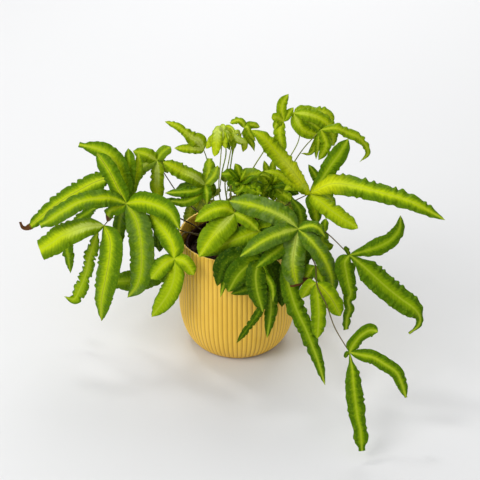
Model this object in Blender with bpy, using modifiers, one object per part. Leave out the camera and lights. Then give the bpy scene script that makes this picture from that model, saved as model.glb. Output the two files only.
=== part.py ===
"""A ribboned brake fern in its nursery pot, standing in a ribbed round cover pot.

Metres, +Z up. The origin is the middle of the cover pot's foot, on the surface it stands on, and the
front of the plant faces -Y. Each frond is one solid: its stalk with every leaflet fused to it.
"""

import math

import bmesh
import bpy
import numpy as np
from mathutils import Vector

MM = 0.001

# Cover pot
POT_HEIGHT = 0.143
BELLY_RADIUS = 0.070
BELLY_HEIGHT = 0.055
FOOT_RADIUS = 0.048
RIM_RADIUS = 0.0685
POT_WALL = 0.0026
POT_FLOOR = 0.003
RIB_COUNT = 76
RIB_DEPTH = 0.0011
POT_LIP = 0.0008
CUTTER_OVERSHOOT = 0.010
DRILL_OVERSHOOT = 0.003
INNER_WALL_BENDS = (0.39, 0.12)
ROUND_STEPS = 48
PLAIN_FOOT = 0.004
BELLY_POWER = 0.6

# Nursery pot, soil and crown
GAP = 0.0003
NURSERY_FOOT_RADIUS = 0.043
NURSERY_RIM_RADIUS = 0.0585
NURSERY_RIM_HEIGHT = 0.131
NURSERY_WALL = 0.0012
NURSERY_LIP = 0.0022
NURSERY_LIP_HEIGHT = 0.008
NURSERY_STEPS = 24
CROWN_STEPS = 18
DRAIN_HOLES = 6
DRAIN_RADIUS = 0.004
DRAIN_RING_RADIUS = 0.030
SOIL_TOP = 0.121
SOIL_MOUND = 0.001
CROWN_RADIUS = 0.031
CROWN_HEIGHT = 0.013
CROWN_SUNK = 0.006
CROWN_TOP = SOIL_TOP - CROWN_SUNK + CROWN_HEIGHT

# Stalks and leaflets
STALK_RADIUS = 0.0012
STALK_ROOT_DEPTH = 0.007
STALK_HOLE_RADIUS = STALK_RADIUS + 0.0004
STALK_UPRIGHT = 0.008
BLADE_THICKNESS = 0.0008
BLADE_LEAST_WIDTH = 0.0020
BLADE_WIDE_FROM = 0.26
BLADE_TAPER_FROM = 0.35
BLADE_RISE_POWER = 0.8
POINTED_POWER = 3.6
BLUNT_POWER = 6.0
BLADE_ROW = 0.0165
BLADE_ROWS = (3, 7)
STALK_ROW = 0.030
STALK_ROWS = (4, 10)
SCALLOP = 0.07
MOST_WAVE = 0.3
DROOP = 0.16

# The viewpoint that the leaf places are read from: a square picture, looking down at the plant
PICTURE_CENTRE_PX = 240.0
EYE_DISTANCE = 1.30
EYE_PITCH = math.radians(30.0)
AIM = Vector((0.0029, 0.0, 0.1329))
METRES_PER_PX = 0.001165
FOCAL_PX = EYE_DISTANCE / METRES_PER_PX
LOOKING = Vector((0.0, math.cos(EYE_PITCH), -math.sin(EYE_PITCH)))
PICTURE_UP = Vector((0.0, math.sin(EYE_PITCH), math.cos(EYE_PITCH)))
EYE = AIM - LOOKING * EYE_DISTANCE


def seen_at(across_px, down_px, ahead_mm):
    """The point seen at this pixel, in the upright plane that many mm ahead of the pot's axis."""
    ray = LOOKING + Vector((1, 0, 0)) * ((across_px - PICTURE_CENTRE_PX) / FOCAL_PX)
    ray -= PICTURE_UP * ((down_px - PICTURE_CENTRE_PX) / FOCAL_PX)
    return EYE + ray * ((-ahead_mm * MM - EYE.y) / ray.y)


def pinna(width_mm, path_px, wave_mm=1.2, base_px=None, blunt=False, cut=0.0):
    """One leaflet. Each place is (px across, px down, mm ahead) and may add its share of the full width.

    base_px is its fork, if not the last, and cut is the least share left at its tip.
    """
    return dict(
        width=width_mm * MM, path_px=path_px, wave=wave_mm * MM,
        base_px=base_px, blunt=blunt, cut=cut,
    )


def frond(root_mm, stalk_px, facing, pinnae):
    """root_mm is where the stalk leaves the crown. The last place of stalk_px is the last fork."""
    return dict(root_mm=root_mm, stalk_px=stalk_px, facing=facing, pinnae=pinnae)


# Where a stalk forks below its last leaflets
LEFT_FORK_PX = (126.5, 203.5, 18)
LEFT_LOWER_FORK_PX = (104, 225.5, 24)
TRAILING_UPPER_FORK_PX = (315.5, 266, 97)
TRAILING_FORK_PX = (316.5, 283, 114)
RIGHT_LOW_FORK_PX = (325.5, 232, 72)

FRONDS = {
    # Left side of the plant
    "frond_left_front": frond(
        root_mm=(-22, -8),
        stalk_px=(
            (197, 227, 4), (179, 218, 4), (151, 206, 12), LEFT_FORK_PX, LEFT_LOWER_FORK_PX,
            (98, 232.5, 25),
        ),
        facing=(-0.35, -0.75, 0.55),
        pinnae=[
            pinna(
                22.5, ((122, 180, 2), (115.3, 161.7, -10), (101, 150, -20), (79, 144.5, -30)),
                base_px=LEFT_FORK_PX, cut=0.28,
            ),
            pinna(
                21, ((119, 190, 16), (111, 174, 12), (104, 163, 4), (97, 153, -6)),
                base_px=LEFT_FORK_PX, blunt=True,
            ),
            pinna(
                22, ((119, 189, 6, 0.08), (110, 180, 3, 0.45), (101, 180, 1, 0.95), (87, 186, -4, 1.05),
                     (62, 200.5, -10), (42, 216, -14), (29, 227, -14, 0.8), (23, 227.5, -14, 0.7),
                     (20, 222, -14, 0.5)),
                1.8, base_px=LEFT_FORK_PX, cut=0.3,
            ),
            pinna(
                21, ((112, 198.5, 24, 0.95), (98, 198.3, 30), (80, 201.8, 36, 0.93), (60, 213, 38),
                     (48, 221, 36, 1.15), (40, 225, 36, 1.1)),
                1.4, base_px=LEFT_FORK_PX, blunt=True, cut=0.35,
            ),
            pinna(
                18, ((98, 207.5, 2, 0.15), (89, 212, -8, 0.8), (76, 222, -13, 0.6), (67.5, 243, -18),
                     (68.5, 258, -18, 1.1), (70.5, 273, -18, 1.1)),
                1.4, base_px=LEFT_FORK_PX, blunt=True,
            ),
            pinna(18, ((120.5, 218, 6), (118.5, 233, 2, 0.95), (116.8, 252, 0)), base_px=LEFT_FORK_PX),
            pinna(
                18, ((127.5, 183, -2), (129, 165, -12), (128.3, 148.3, -22)),
                base_px=LEFT_FORK_PX, blunt=True,
            ),
            pinna(
                29.5, ((136.3, 220, 32), (141, 243, 44), (141.3, 268, 52), (136.8, 286, 54, 0.85),
                       (127.5, 297.5, 54, 0.6)),
                1.0, base_px=LEFT_FORK_PX, blunt=True,
            ),
            pinna(
                24, ((141, 201.5, 28), (157, 205.5, 44), (170, 213, 56), (180, 230, 62)),
                1.0, base_px=LEFT_FORK_PX,
            ),
            pinna(
                30, ((88, 226.5, 34, 0.76), (75, 230.5, 38, 0.95), (61, 236.5, 40, 1.05),
                     (52, 243, 40, 1.15), (40, 250, 40)),
                1.0, base_px=LEFT_LOWER_FORK_PX, blunt=True, cut=0.85,
            ),
            pinna(
                33, ((110, 240, 38), (109.5, 258, 44), (105.5, 280, 49), (101.7, 300, 50),
                     (101.5, 321, 50)),
                1.0, base_px=LEFT_LOWER_FORK_PX,
            ),
            pinna(
                18, ((95, 241, 25), (90, 256, 24), (86, 274, 21, 0.9), (79.5, 290, 18, 1.25),
                     (74, 299, 16, 1.1), (64, 296.5, 14, 0.5)),
                1.6, blunt=True,
            ),
        ],
    ),
    "frond_left_back": frond(
        root_mm=(-18, 12),
        stalk_px=((198, 212, -30), (180, 196, -46), (166, 176, -54), (157, 160.5, -52)),
        facing=(-0.2, -0.7, 0.68),
        pinnae=[
            pinna(17, ((147, 154.5, -52), (133, 151, -56))),
            pinna(19, ((144.5, 165, -46, 0.92), (134, 176.5, -44), (126, 193, -44))),
            pinna(16, ((162, 152.5, -60), (170.5, 146.5, -68)), 0.8, blunt=True),
            pinna(18.5, ((157.2, 174, -42, 0.88), (157.2, 189, -37), (158.7, 203, -34)), 1.6),
            pinna(12, ((164, 166, -60), (168, 173, -66))),
        ],
    ),
    "frond_left_low": frond(
        root_mm=(-22, -15),
        stalk_px=((190, 233, 22), (181, 237, 40), (174.5, 258.5, 56)),
        facing=(-0.3, -0.8, 0.5),
        pinnae=[
            pinna(27, ((172, 243, 52), (162, 227.5, 37), (149.5, 213.5, 23))),
            pinna(19, ((164, 264, 60), (151, 279, 63)), blunt=True),
            pinna(24, ((174.5, 275, 64), (168.7, 293, 66), (151.7, 317, 64)), 1.0),
            pinna(15, ((185, 262, 66), (194, 275, 70)), blunt=True),
            pinna(27.5, ((163, 268.5, 46), (139, 279.5, 26), (122, 281.2, 12), (103, 281.5, 0)), 1.4),
        ],
    ),
    "frond_left_under": frond(
        root_mm=(-27, 2),
        stalk_px=((186, 232, -2), (170, 227.5, 4), (159, 231, 6)),
        facing=(-0.4, -0.7, 0.5),
        pinnae=[
            pinna(15, ((158, 240, 6), (159.5, 252, 6))),
            pinna(10, ((152, 222, 0), (146, 214, -6))),
            pinna(13, ((160, 214, -12), (168, 203, -20), (183, 201, -26))),
        ],
    ),
    # Upper left, a young frond above an older one
    "frond_upper_left": frond(
        root_mm=(-10, 8),
        stalk_px=((214, 222, -4), (208, 202, -4), (205, 185, 0)),
        facing=(-0.1, -0.6, 0.75),
        pinnae=[
            pinna(20, ((195, 177, 8), (184, 172.4, 12), (173, 166.7, 14), (163, 162, 14)), 1.4, blunt=True),
            pinna(12, ((195, 190.5, 10), (182, 192, 12), (165, 193, 10)), 1.4),
            pinna(14, ((208.5, 173, -8), (209.5, 158.3, -18)), blunt=True, cut=0.5),
            pinna(13, ((213.5, 176, -2), (218, 165.5, -8))),
            pinna(13, ((197, 196, 12), (185, 202, 18), (170, 201, 18))),
            pinna(11, ((207, 193, 12), (207, 204, 16))),
        ],
    ),
    "frond_upper_left_young": frond(
        root_mm=(-12, 14),
        stalk_px=((216, 214, -28), (212, 186, -40), (207, 160, -42), (203.7, 150, -40)),
        facing=(-0.1, -0.7, 0.7),
        pinnae=[
            pinna(
                20, ((199, 142, -38), (192, 137.5, -37, 0.8), (184, 131, -38, 0.48),
                     (176, 125.5, -40, 0.48), (165, 121.5, -42, 0.45)),
                1.6, blunt=True,
            ),
            pinna(12, ((195, 148.8, -32), (184, 148.3, -28), (174.5, 148.2, -26))),
        ],
    ),
    # A tuft of young fronds, still half folded
    "frond_tuft_left": frond(
        root_mm=(-2, 10),
        stalk_px=((224, 212, -2), (219, 190, 3), (220.5, 160, 5), (223, 131, 4)),
        facing=(-0.2, -0.7, 0.6),
        pinnae=[
            pinna(11.5, ((218, 130, 8), (216.5, 142, 14), (214.5, 156.5, 18)), blunt=True),
            pinna(9, ((212.5, 138.5, -2), (206, 148.5, -6)), blunt=True),
            pinna(8, ((222, 127.5, -2), (216, 131.5, -8))),
            pinna(8, ((224, 139, 12), (226, 149, 16))),
        ],
    ),
    "frond_tuft_right": frond(
        root_mm=(3, 16),
        stalk_px=((229, 206, -16), (225, 184, -22), (229, 160, -26), (234, 134, -26)),
        facing=(0.2, -0.7, 0.6),
        pinnae=[
            pinna(8, ((230, 128, -32), (223, 129, -36))),
            pinna(6, ((238, 132, -30), (241, 139, -36))),
            pinna(9, ((238, 139.5, -20), (244.5, 143, -16), (243, 152, -14))),
            pinna(8, ((230, 140, -16), (229, 149, -12))),
        ],
    ),
    "frond_top_left": frond(
        root_mm=(9, 20),
        stalk_px=((234, 206, -34), (230, 182, -46), (233, 152, -52), (244.5, 128, -56)),
        facing=(0.0, -0.7, 0.7),
        pinnae=[
            pinna(8.5, ((242.5, 122.7, -57), (237.5, 120.2, -58), (230, 123, -60)), blunt=True),
            pinna(9, ((252, 124.5, -60), (260, 127, -64))),
            pinna(12, ((248.5, 136.5, -50), (252.3, 144, -49, 0.6), (254.5, 151.5, -48, 0.35)), 1.4),
        ],
    ),
    # Right side, above
    "frond_right": frond(
        root_mm=(18, 4),
        stalk_px=((262, 222, 6), (285, 206, 14), (310, 193.3, 20)),
        facing=(0.15, -0.6, 0.78),
        pinnae=[
            pinna(
                22, ((300, 181, 26, 0.88), (291.5, 169.5, 30), (282, 158.5, 31), (272.5, 148, 30),
                     (262.5, 137, 28), (251, 130, 26)),
                1.4, blunt=True,
            ),
            pinna(
                27, ((331, 184, 28), (351, 185.5, 36), (376, 191.5, 48, 0.86), (400, 198, 57, 0.86),
                     (418, 205, 63, 0.86), (445, 220, 70)),
                1.8,
            ),
            pinna(
                20.5, ((321, 180, 18, 0.6), (330.3, 166, 15), (339.5, 153.5, 10), (348.3, 139, 6)),
                1.6, blunt=True,
            ),
            pinna(21.5, ((323.7, 204.5, 36), (337.5, 215, 47), (358, 228.5, 60)), 1.4, blunt=True),
            pinna(17, ((315, 208, 34), (317, 224.5, 42))),
            pinna(14, ((292, 182, 34), (278, 173.5, 40), (264, 171, 42))),
            pinna(14, ((314, 188, 8, 0.2), (317, 179, 4, 0.8), (308.5, 164.5, -2))),
            pinna(17, ((325, 194, 14), (336, 206, 8))),
        ],
    ),
    "frond_top_spray": frond(
        root_mm=(6, 8),
        stalk_px=((241, 210, -6), (247, 180, -6), (264, 151, -2), (276, 134, 2), (283.5, 121.5, 6)),
        facing=(0.0, -0.75, 0.65),
        pinnae=[
            pinna(11.5, ((281.5, 110, 4), (283, 102, 1), (288.5, 94, -2))),
            pinna(11, ((277, 117.5, 10), (271.5, 118, 12)), blunt=True),
            pinna(8, ((288, 114, 2), (293.5, 107.5, -2))),
            pinna(13, ((279.5, 131, 14), (281, 145, 19), (282, 160, 24)), 1.6),
        ],
    ),
    "frond_top_right": frond(
        root_mm=(14, 16),
        stalk_px=((254, 206, -24), (274, 182, -40), (290, 157, -50), (299.5, 136, -54), (294, 113, -54)),
        facing=(0.1, -0.7, 0.7),
        pinnae=[
            pinna(
                14, ((301, 110.5, -58, 1.1), (315, 111.5, -62), (328, 113.5, -66), (333, 125, -66)),
                1.4, blunt=True,
            ),
            pinna(16, ((307, 114, -46), (321, 119, -42), (331, 129, -40), (334, 146, -40)), blunt=True),
            pinna(16, ((299, 125, -44), (306, 131.5, -41), (322, 136, -40))),
            pinna(9, ((289, 113, -50), (288, 120.5, -48))),
        ],
    ),
    "frond_far_right": frond(
        root_mm=(20, 14),
        stalk_px=((262, 206, -16), (280, 184, -22), (300.5, 152.5, -22), (312, 139, -20), (321, 130, -20)),
        facing=(0.1, -0.7, 0.7),
        pinnae=[
            pinna(
                13, ((336, 128, -22), (348, 133, -24), (357, 136.5, -25), (363, 142, -26, 0.75),
                     (367.5, 149, -26, 0.6), (367, 155, -26, 0.5), (359.5, 162, -26, 0.25)),
                1.6, blunt=True,
            ),
            pinna(7, ((318.5, 141, -14), (317.5, 153, -12))),
            pinna(12, ((326, 143, -12), (324, 151, -8), (318.5, 160, -6)), 1.4),
            pinna(6, ((313, 147, -24), (307.5, 155, -26))),
        ],
    ),
    # The bushy middle
    "frond_middle_left": frond(
        root_mm=(2, 0),
        stalk_px=((236, 218, 8), (236, 198, 12), (240, 182, 14)),
        facing=(-0.05, -0.6, 0.75),
        pinnae=[
            pinna(13, ((231, 174.5, 16), (221, 174, 14))),
            pinna(11, ((238, 169, 10), (235, 163.5, 6))),
            pinna(16, ((250, 175, 18), (262, 172, 16)), 1.6),
            pinna(13, ((246, 191, 24), (243, 200, 28))),
            pinna(17, ((250, 187, 26), (262, 194, 30)), 1.6),
        ],
    ),
    "frond_middle_right": frond(
        root_mm=(10, -2),
        stalk_px=((248, 218, 2), (258, 200, -4), (272, 184, -4)),
        facing=(0.1, -0.6, 0.75),
        pinnae=[
            pinna(9, ((267.5, 172, -4), (264, 160.5, -6))),
            pinna(15, ((283, 181, -6), (296, 187, -6)), 1.6),
            pinna(17, ((280, 192, 6), (293, 201, 12)), 1.6),
            pinna(13, ((262, 180, -12), (252, 177, -20))),
            pinna(9, ((272.5, 172, -14), (273, 159.5, -20))),
        ],
    ),
    # Front
    "frond_front_left": frond(
        root_mm=(-6, -6),
        stalk_px=((226, 226, 22), (230, 216, 38), (234.5, 213, 48)),
        facing=(-0.1, -0.65, 0.72),
        pinnae=[
            pinna(20, ((224, 208, 50), (210, 211.5, 54), (195, 221.5, 58))),
            pinna(29, ((222, 226, 62), (210, 240, 74), (199, 257, 84)), 1.0),
            pinna(15, ((247, 220, 58), (259, 231, 66))),
        ],
    ),
    "frond_front": frond(
        root_mm=(8, -14),
        stalk_px=((256, 226, 24), (280, 221, 52), (298, 229, 76)),
        facing=(0.0, -0.65, 0.72),
        pinnae=[
            pinna(
                25, ((285, 218, 74), (267, 209.5, 68), (248, 204, 60), (229.5, 201, 50)),
                1.0, blunt=True,
            ),
            pinna(21, ((284, 232, 88), (265, 240, 98), (240, 256.5, 102)), 1.0),
            pinna(16, ((284, 245, 88), (270, 256, 98), (255.5, 268, 101))),
            pinna(25, ((294.5, 248, 92), (293, 266, 98), (297, 286, 98)), 1.0, blunt=True, cut=0.6),
            pinna(21, ((312, 242, 90), (323, 257, 96), (331, 276, 96), (332.5, 297, 92)), 1.0),
            pinna(13, ((310, 225.5, 78), (318, 228, 80), (325, 236.5, 79))),
            pinna(24, ((266, 229.5, 60), (242, 237, 64), (221, 246, 68), (203, 256.5, 68)), 1.0),
        ],
    ),
    "frond_front_under": frond(
        root_mm=(2, -24),
        stalk_px=((245, 240, 46), (254, 248, 68), (262, 259, 78)),
        facing=(0.0, -0.95, 0.3),
        pinnae=[
            pinna(22, ((242, 256, 79), (225, 262.5, 82), (217, 286, 84))),
            pinna(28, ((250, 264, 84), (238, 275, 88), (228, 292, 88))),
            pinna(9, ((238, 262, 70), (226, 279, 76), (220.5, 297, 78))),
            pinna(18, ((256, 279, 80), (246, 289, 82), (231, 294, 82))),
            pinna(22, ((256, 272, 92), (257, 290, 94), (263, 312, 94)), 1.6),
            pinna(9, ((264, 290, 88), (261, 308, 90), (250, 325, 90), (236.5, 343, 88)), 1.8, blunt=True),
            pinna(15, ((269, 280, 84), (271, 308, 84), (267, 338, 84)), 1.6),
            pinna(21, ((273, 270, 76), (281, 287, 76), (282, 307, 78))),
        ],
    ),
    "frond_front_trailing": frond(
        root_mm=(13, -22),
        stalk_px=((262, 238, 48), (277, 246, 68), (284, 262, 84)),
        facing=(0.1, -0.95, 0.3),
        pinnae=[
            pinna(
                20, ((288, 283, 90), (296, 308, 98), (306.1, 330, 108, 0.9), (312.4, 346, 114, 0.83),
                     (318, 361, 122, 0.86), (325, 385, 132)),
                2.4,
            ),
            pinna(16, ((292, 271, 80), (299, 290, 82))),
        ],
    ),
    # Right side, trailing
    "frond_right_trailing": frond(
        root_mm=(20, -16),
        stalk_px=(
            (275, 236, 40), (296, 243, 60), (310, 256, 80), TRAILING_UPPER_FORK_PX, TRAILING_FORK_PX,
            (321, 294, 124), (327, 306, 136), (335, 328, 158), (349.5, 352.3, 180),
        ),
        facing=(0.2, -0.9, 0.4),
        pinnae=[
            pinna(
                16.5, ((317.6, 298, 120), (318.7, 315, 124), (317.3, 338.5, 126)),
                1.4, base_px=TRAILING_FORK_PX, blunt=True,
            ),
            pinna(
                19, ((326, 292, 118), (333.5, 302, 120), (340.5, 316, 122)),
                1.4, base_px=TRAILING_FORK_PX, blunt=True,
            ),
            pinna(15, ((309, 287, 110), (301.5, 298.5, 108)), base_px=TRAILING_FORK_PX),
            pinna(16, ((309, 273, 92), (303, 285, 90)), base_px=TRAILING_UPPER_FORK_PX),
            pinna(
                15, ((353, 345, 178), (359.5, 336.7, 176, 0.85), (367.5, 331, 176),
                     (373.3, 330.3, 176, 1.2), (378, 332, 178, 1.3)),
                1.0, blunt=True,
            ),
            pinna(
                15, ((362, 355, 182), (373.5, 357.5, 185), (385, 364.3, 189), (396, 372, 192, 0.95),
                     (401.5, 383, 195, 0.85), (406, 397.5, 198, 0.95)),
                1.4, blunt=True, cut=0.2,
            ),
            pinna(
                18.5, ((351, 362, 184, 0.35), (352.5, 372, 190, 0.8), (353.5, 385, 196, 0.93),
                       (355.5, 402, 205, 1.05), (357.5, 417, 214, 0.92), (360, 428, 220, 0.8),
                       (361, 438, 225, 1.1), (362, 451, 230, 1.3)),
                1.8, blunt=True, cut=0.3,
            ),
        ],
    ),
    "frond_right_low": frond(
        root_mm=(25, -6),
        stalk_px=((280, 226, 28), (303, 219, 52), RIGHT_LOW_FORK_PX, (349.5, 255, 90)),
        facing=(0.25, -0.75, 0.6),
        pinnae=[
            pinna(
                20, ((361, 252, 90, 0.55), (378, 246.7, 90), (391, 239.5, 90, 0.85), (399, 229, 88, 0.9),
                     (400.5, 215.5, 86)),
                1.4,
            ),
            pinna(
                28, ((359, 262.5, 94, 0.6), (368.3, 270.7, 98), (385, 286, 106), (400.5, 298.5, 112),
                     (414, 308.5, 118), (419.8, 317.5, 120, 0.48), (418, 326, 121, 0.5),
                     (409, 333.5, 122, 0.4)),
                1.4, cut=0.25,
            ),
            pinna(
                22, ((344.8, 262, 93, 1.35), (346.2, 273, 96), (348.5, 285, 102, 0.85),
                     (350.5, 293.5, 105, 0.78), (348, 301, 106, 0.42), (349.5, 309.5, 106, 0.6),
                     (347, 318, 106, 0.5), (346, 329.5, 106, 1.0)),
                1.6, blunt=True, cut=0.3,
            ),
            pinna(9, ((324.5, 226, 70), (326, 218.5, 66)), base_px=RIGHT_LOW_FORK_PX),
            pinna(
                13, ((322, 241, 66), (328, 246, 62), (333.5, 245, 60)),
                base_px=RIGHT_LOW_FORK_PX, blunt=True,
            ),
        ],
    ),
    # Far side, hidden from the front
    "frond_back_upright_left": frond(
        root_mm=(-8, 18),
        stalk_px=((230, 206, -40), (231, 188, -60), (232, 178, -74)),
        facing=(-0.2, 0.45, 0.87),
        pinnae=[
            pinna(16, ((228, 174, -86), (226, 182, -100))),
            pinna(17, ((234, 174, -90), (237, 184, -106))),
            pinna(15, ((239, 177, -74), (245, 186, -78))),
            pinna(13, ((232, 186, -64), (229, 197, -58))),
        ],
    ),
    "frond_back_upright_right": frond(
        root_mm=(9, 25),
        stalk_px=((253, 206, -44), (262, 190, -62), (268, 180, -76)),
        facing=(0.2, 0.45, 0.87),
        pinnae=[
            pinna(16, ((263, 175, -88), (258, 182, -102))),
            pinna(17, ((271, 176, -92), (276, 186, -108))),
            pinna(15, ((279, 179, -76), (290, 187, -80))),
            pinna(13, ((266, 188, -64), (264, 199, -58))),
        ],
    ),
    "frond_back_left": frond(
        root_mm=(-16, 22),
        stalk_px=((214, 212, -50), (206, 196, -78), (203, 200, -102)),
        facing=(-0.3, 0.75, 0.6),
        pinnae=[
            pinna(19, ((192, 208, -122), (187, 229, -134))),
            pinna(20, ((203, 214, -128), (206, 240, -140))),
            pinna(19, ((215, 208, -120), (223, 226, -132))),
            pinna(15, ((190, 196, -96), (180, 206, -92))),
            pinna(15, ((212, 194, -88), (220, 188, -74))),
        ],
    ),
    "frond_back": frond(
        root_mm=(0, 27),
        stalk_px=((236, 208, -52), (240, 190, -84), (243, 194, -112)),
        facing=(0.0, 0.8, 0.55),
        pinnae=[
            pinna(19, ((232, 204, -130), (229, 226, -146))),
            pinna(21, ((245, 210, -138), (247, 238, -152))),
            pinna(19, ((256, 203, -128), (264, 224, -142))),
            pinna(15, ((232, 188, -98), (226, 192, -88))),
            pinna(15, ((252, 188, -100), (262, 190, -92))),
        ],
    ),
    "frond_back_right": frond(
        root_mm=(15, 22),
        stalk_px=((258, 208, -50), (274, 192, -78), (284, 196, -102)),
        facing=(0.35, 0.75, 0.55),
        pinnae=[
            pinna(19, ((280, 212, -124), (276, 234, -136))),
            pinna(20, ((289, 213, -122), (290, 241, -134))),
            pinna(18, ((290, 204, -112), (285, 222, -124))),
            pinna(15, ((276, 190, -112), (268, 194, -122))),
            pinna(15, ((290, 189, -86), (294, 190, -72))),
        ],
    ),
}

LEAF_GREEN = (0.16, 0.34, 0.03)
YOUNG_GREEN = (0.30, 0.45, 0.04)
YOUNG_FRONDS = {"frond_upper_left_young", "frond_tuft_left", "frond_tuft_right", "frond_top_left",
                "frond_top_spray", "frond_top_right", "frond_far_right"}


def clear_scene():
    for old in list(bpy.data.objects):
        bpy.data.objects.remove(old)


def new_collection(name, hidden=False):
    made = bpy.data.collections.new(name)
    made.hide_render = hidden
    bpy.context.scene.collection.children.link(made)
    return made


def material(name, colour, roughness):
    made = bpy.data.materials.new(name)
    made.use_nodes = True
    shader = made.node_tree.nodes["Principled BSDF"]
    shader.inputs["Base Color"].default_value = (*colour, 1.0)
    shader.inputs["Roughness"].default_value = roughness
    return made


def add_object(name, mesh, collection, finish=None):
    made = bpy.data.objects.new(name, mesh)
    collection.objects.link(made)
    if finish:
        made.data.materials.clear()
        made.data.materials.append(finish)
    return made


def evaluated_mesh(source):
    """A new mesh of the object as its modifiers leave it."""
    graph = bpy.context.evaluated_depsgraph_get()
    return bpy.data.meshes.new_from_object(source.evaluated_get(graph))


def turned_mesh(name, profile, steps, collection):
    """The profile of (radius, height) points, turned about Z. Its outer side runs from top to bottom."""
    mesh = bpy.data.meshes.new(name + "_profile")
    mesh.from_pydata([(r, 0.0, z) for r, z in profile], [(i, i + 1) for i in range(len(profile) - 1)], [])
    outline = add_object(name + "_profile", mesh, collection)
    turn = outline.modifiers.new("Turn", "SCREW")
    turn.steps = turn.render_steps = steps
    turn.use_merge_vertices = True
    turn.merge_threshold = 0.00005
    made = evaluated_mesh(outline)
    made.name = name
    bpy.data.objects.remove(outline)
    return made


def pot_radius(height):
    """Outer radius of the cover pot: a rounded bowl up to the belly, then a slight taper to the rim."""
    if height < BELLY_HEIGHT:
        up = height / BELLY_HEIGHT
        return FOOT_RADIUS + (BELLY_RADIUS - FOOT_RADIUS) * (1 - (1 - up) ** 2) ** BELLY_POWER
    up = (height - BELLY_HEIGHT) / (POT_HEIGHT - BELLY_HEIGHT)
    return BELLY_RADIUS + (RIM_RADIUS - BELLY_RADIUS) * up**2


def make_cover_pot(collection, cutters):
    """A turned solid with ribs pressed in round its side, hollowed by a second turned shape.

    The heights are shares of the pot's height, closer together where the outline curves more.
    """
    outer_heights = [0.39, 0.23, 0.11, 0.035, 0.0]
    outside = [(0.0, POT_HEIGHT), (RIM_RADIUS - POT_LIP, POT_HEIGHT), (RIM_RADIUS, POT_HEIGHT - POT_LIP)]
    outside += [(pot_radius(q * POT_HEIGHT), q * POT_HEIGHT) for q in outer_heights]
    mesh = turned_mesh("cover_pot", outside + [(0.0, 0.0)], 2 * RIB_COUNT, collection)
    for vertex in mesh.vertices:
        radius = math.hypot(vertex.co.x, vertex.co.y)
        if vertex.co.z < PLAIN_FOOT or vertex.co.z > POT_HEIGHT - POT_LIP / 2:
            continue
        turns = math.atan2(vertex.co.y, vertex.co.x) / (2 * math.pi) * RIB_COUNT
        grown = 1 - RIB_DEPTH * (0.5 - 0.5 * math.cos(2 * math.pi * turns)) / radius
        vertex.co.x *= grown
        vertex.co.y *= grown
    mesh.shade_smooth()
    mesh.set_sharp_from_angle(angle=math.radians(40))
    pot = add_object("cover_pot", mesh, collection, material("mustard_plastic", (0.62, 0.37, 0.06), 0.5))
    inside = [(0.0, POT_HEIGHT + CUTTER_OVERSHOOT), (RIM_RADIUS - POT_WALL, POT_HEIGHT + CUTTER_OVERSHOOT)]
    inside += [(pot_radius(q * POT_HEIGHT) - POT_WALL, q * POT_HEIGHT) for q in INNER_WALL_BENDS]
    inside += [(FOOT_RADIUS - POT_WALL, POT_FLOOR), (0.0, POT_FLOOR)]
    hollow = turned_mesh("pot_inside", inside, ROUND_STEPS, collection)
    cut_with(pot, add_object("pot_inside", hollow, cutters))


def nursery_radius(height):
    """Outer radius of the nursery pot, which widens evenly from foot to rim."""
    up = (height - POT_FLOOR) / (NURSERY_RIM_HEIGHT - POT_FLOOR)
    return NURSERY_FOOT_RADIUS + (NURSERY_RIM_RADIUS - NURSERY_FOOT_RADIUS) * up


def cut_with(target, cutter):
    cutter.hide_render = True
    cutter.display_type = "WIRE"
    cut = target.modifiers.new(cutter.name, "BOOLEAN")
    cut.operation = "DIFFERENCE"
    cut.object = cutter


def drill(target, name, places, radius, low, high, cutters, sides=6):
    """Cuts a plain upright hole at each place, all with one cutter."""
    bm = bmesh.new()
    for x, y in places:
        made = bmesh.ops.create_cone(
            bm, cap_ends=True, segments=sides, radius1=radius, radius2=radius, depth=high - low
        )
        bmesh.ops.translate(bm, verts=made["verts"], vec=(x, y, (low + high) / 2))
    mesh = bpy.data.meshes.new(name)
    bm.to_mesh(mesh)
    bm.free()
    cut_with(target, add_object(name, mesh, cutters))


def make_nursery_pot(collection, cutters):
    foot = POT_FLOOR + GAP
    lip_bottom = NURSERY_RIM_HEIGHT - NURSERY_LIP_HEIGHT
    profile = [
        (0.0, foot + NURSERY_WALL),
        (nursery_radius(foot) - NURSERY_WALL, foot + NURSERY_WALL),
        (NURSERY_RIM_RADIUS - NURSERY_WALL, NURSERY_RIM_HEIGHT),
        (NURSERY_RIM_RADIUS + NURSERY_LIP, NURSERY_RIM_HEIGHT),
        (NURSERY_RIM_RADIUS + NURSERY_LIP, lip_bottom),
        (nursery_radius(lip_bottom), lip_bottom),
        (nursery_radius(foot), foot),
        (0.0, foot),
    ]
    made = add_object(
        "nursery_pot",
        turned_mesh("nursery_pot", profile, NURSERY_STEPS, collection),
        collection,
        material("brown_plastic", (0.055, 0.018, 0.012), 0.4),
    )
    ring = [2 * math.pi * i / DRAIN_HOLES for i in range(DRAIN_HOLES)]
    places = [(DRAIN_RING_RADIUS * math.cos(a), DRAIN_RING_RADIUS * math.sin(a)) for a in ring]
    low = foot - DRILL_OVERSHOOT
    high = foot + NURSERY_WALL + DRILL_OVERSHOOT
    drill(made, "drain_holes", places, DRAIN_RADIUS, low, high, cutters)


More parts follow.
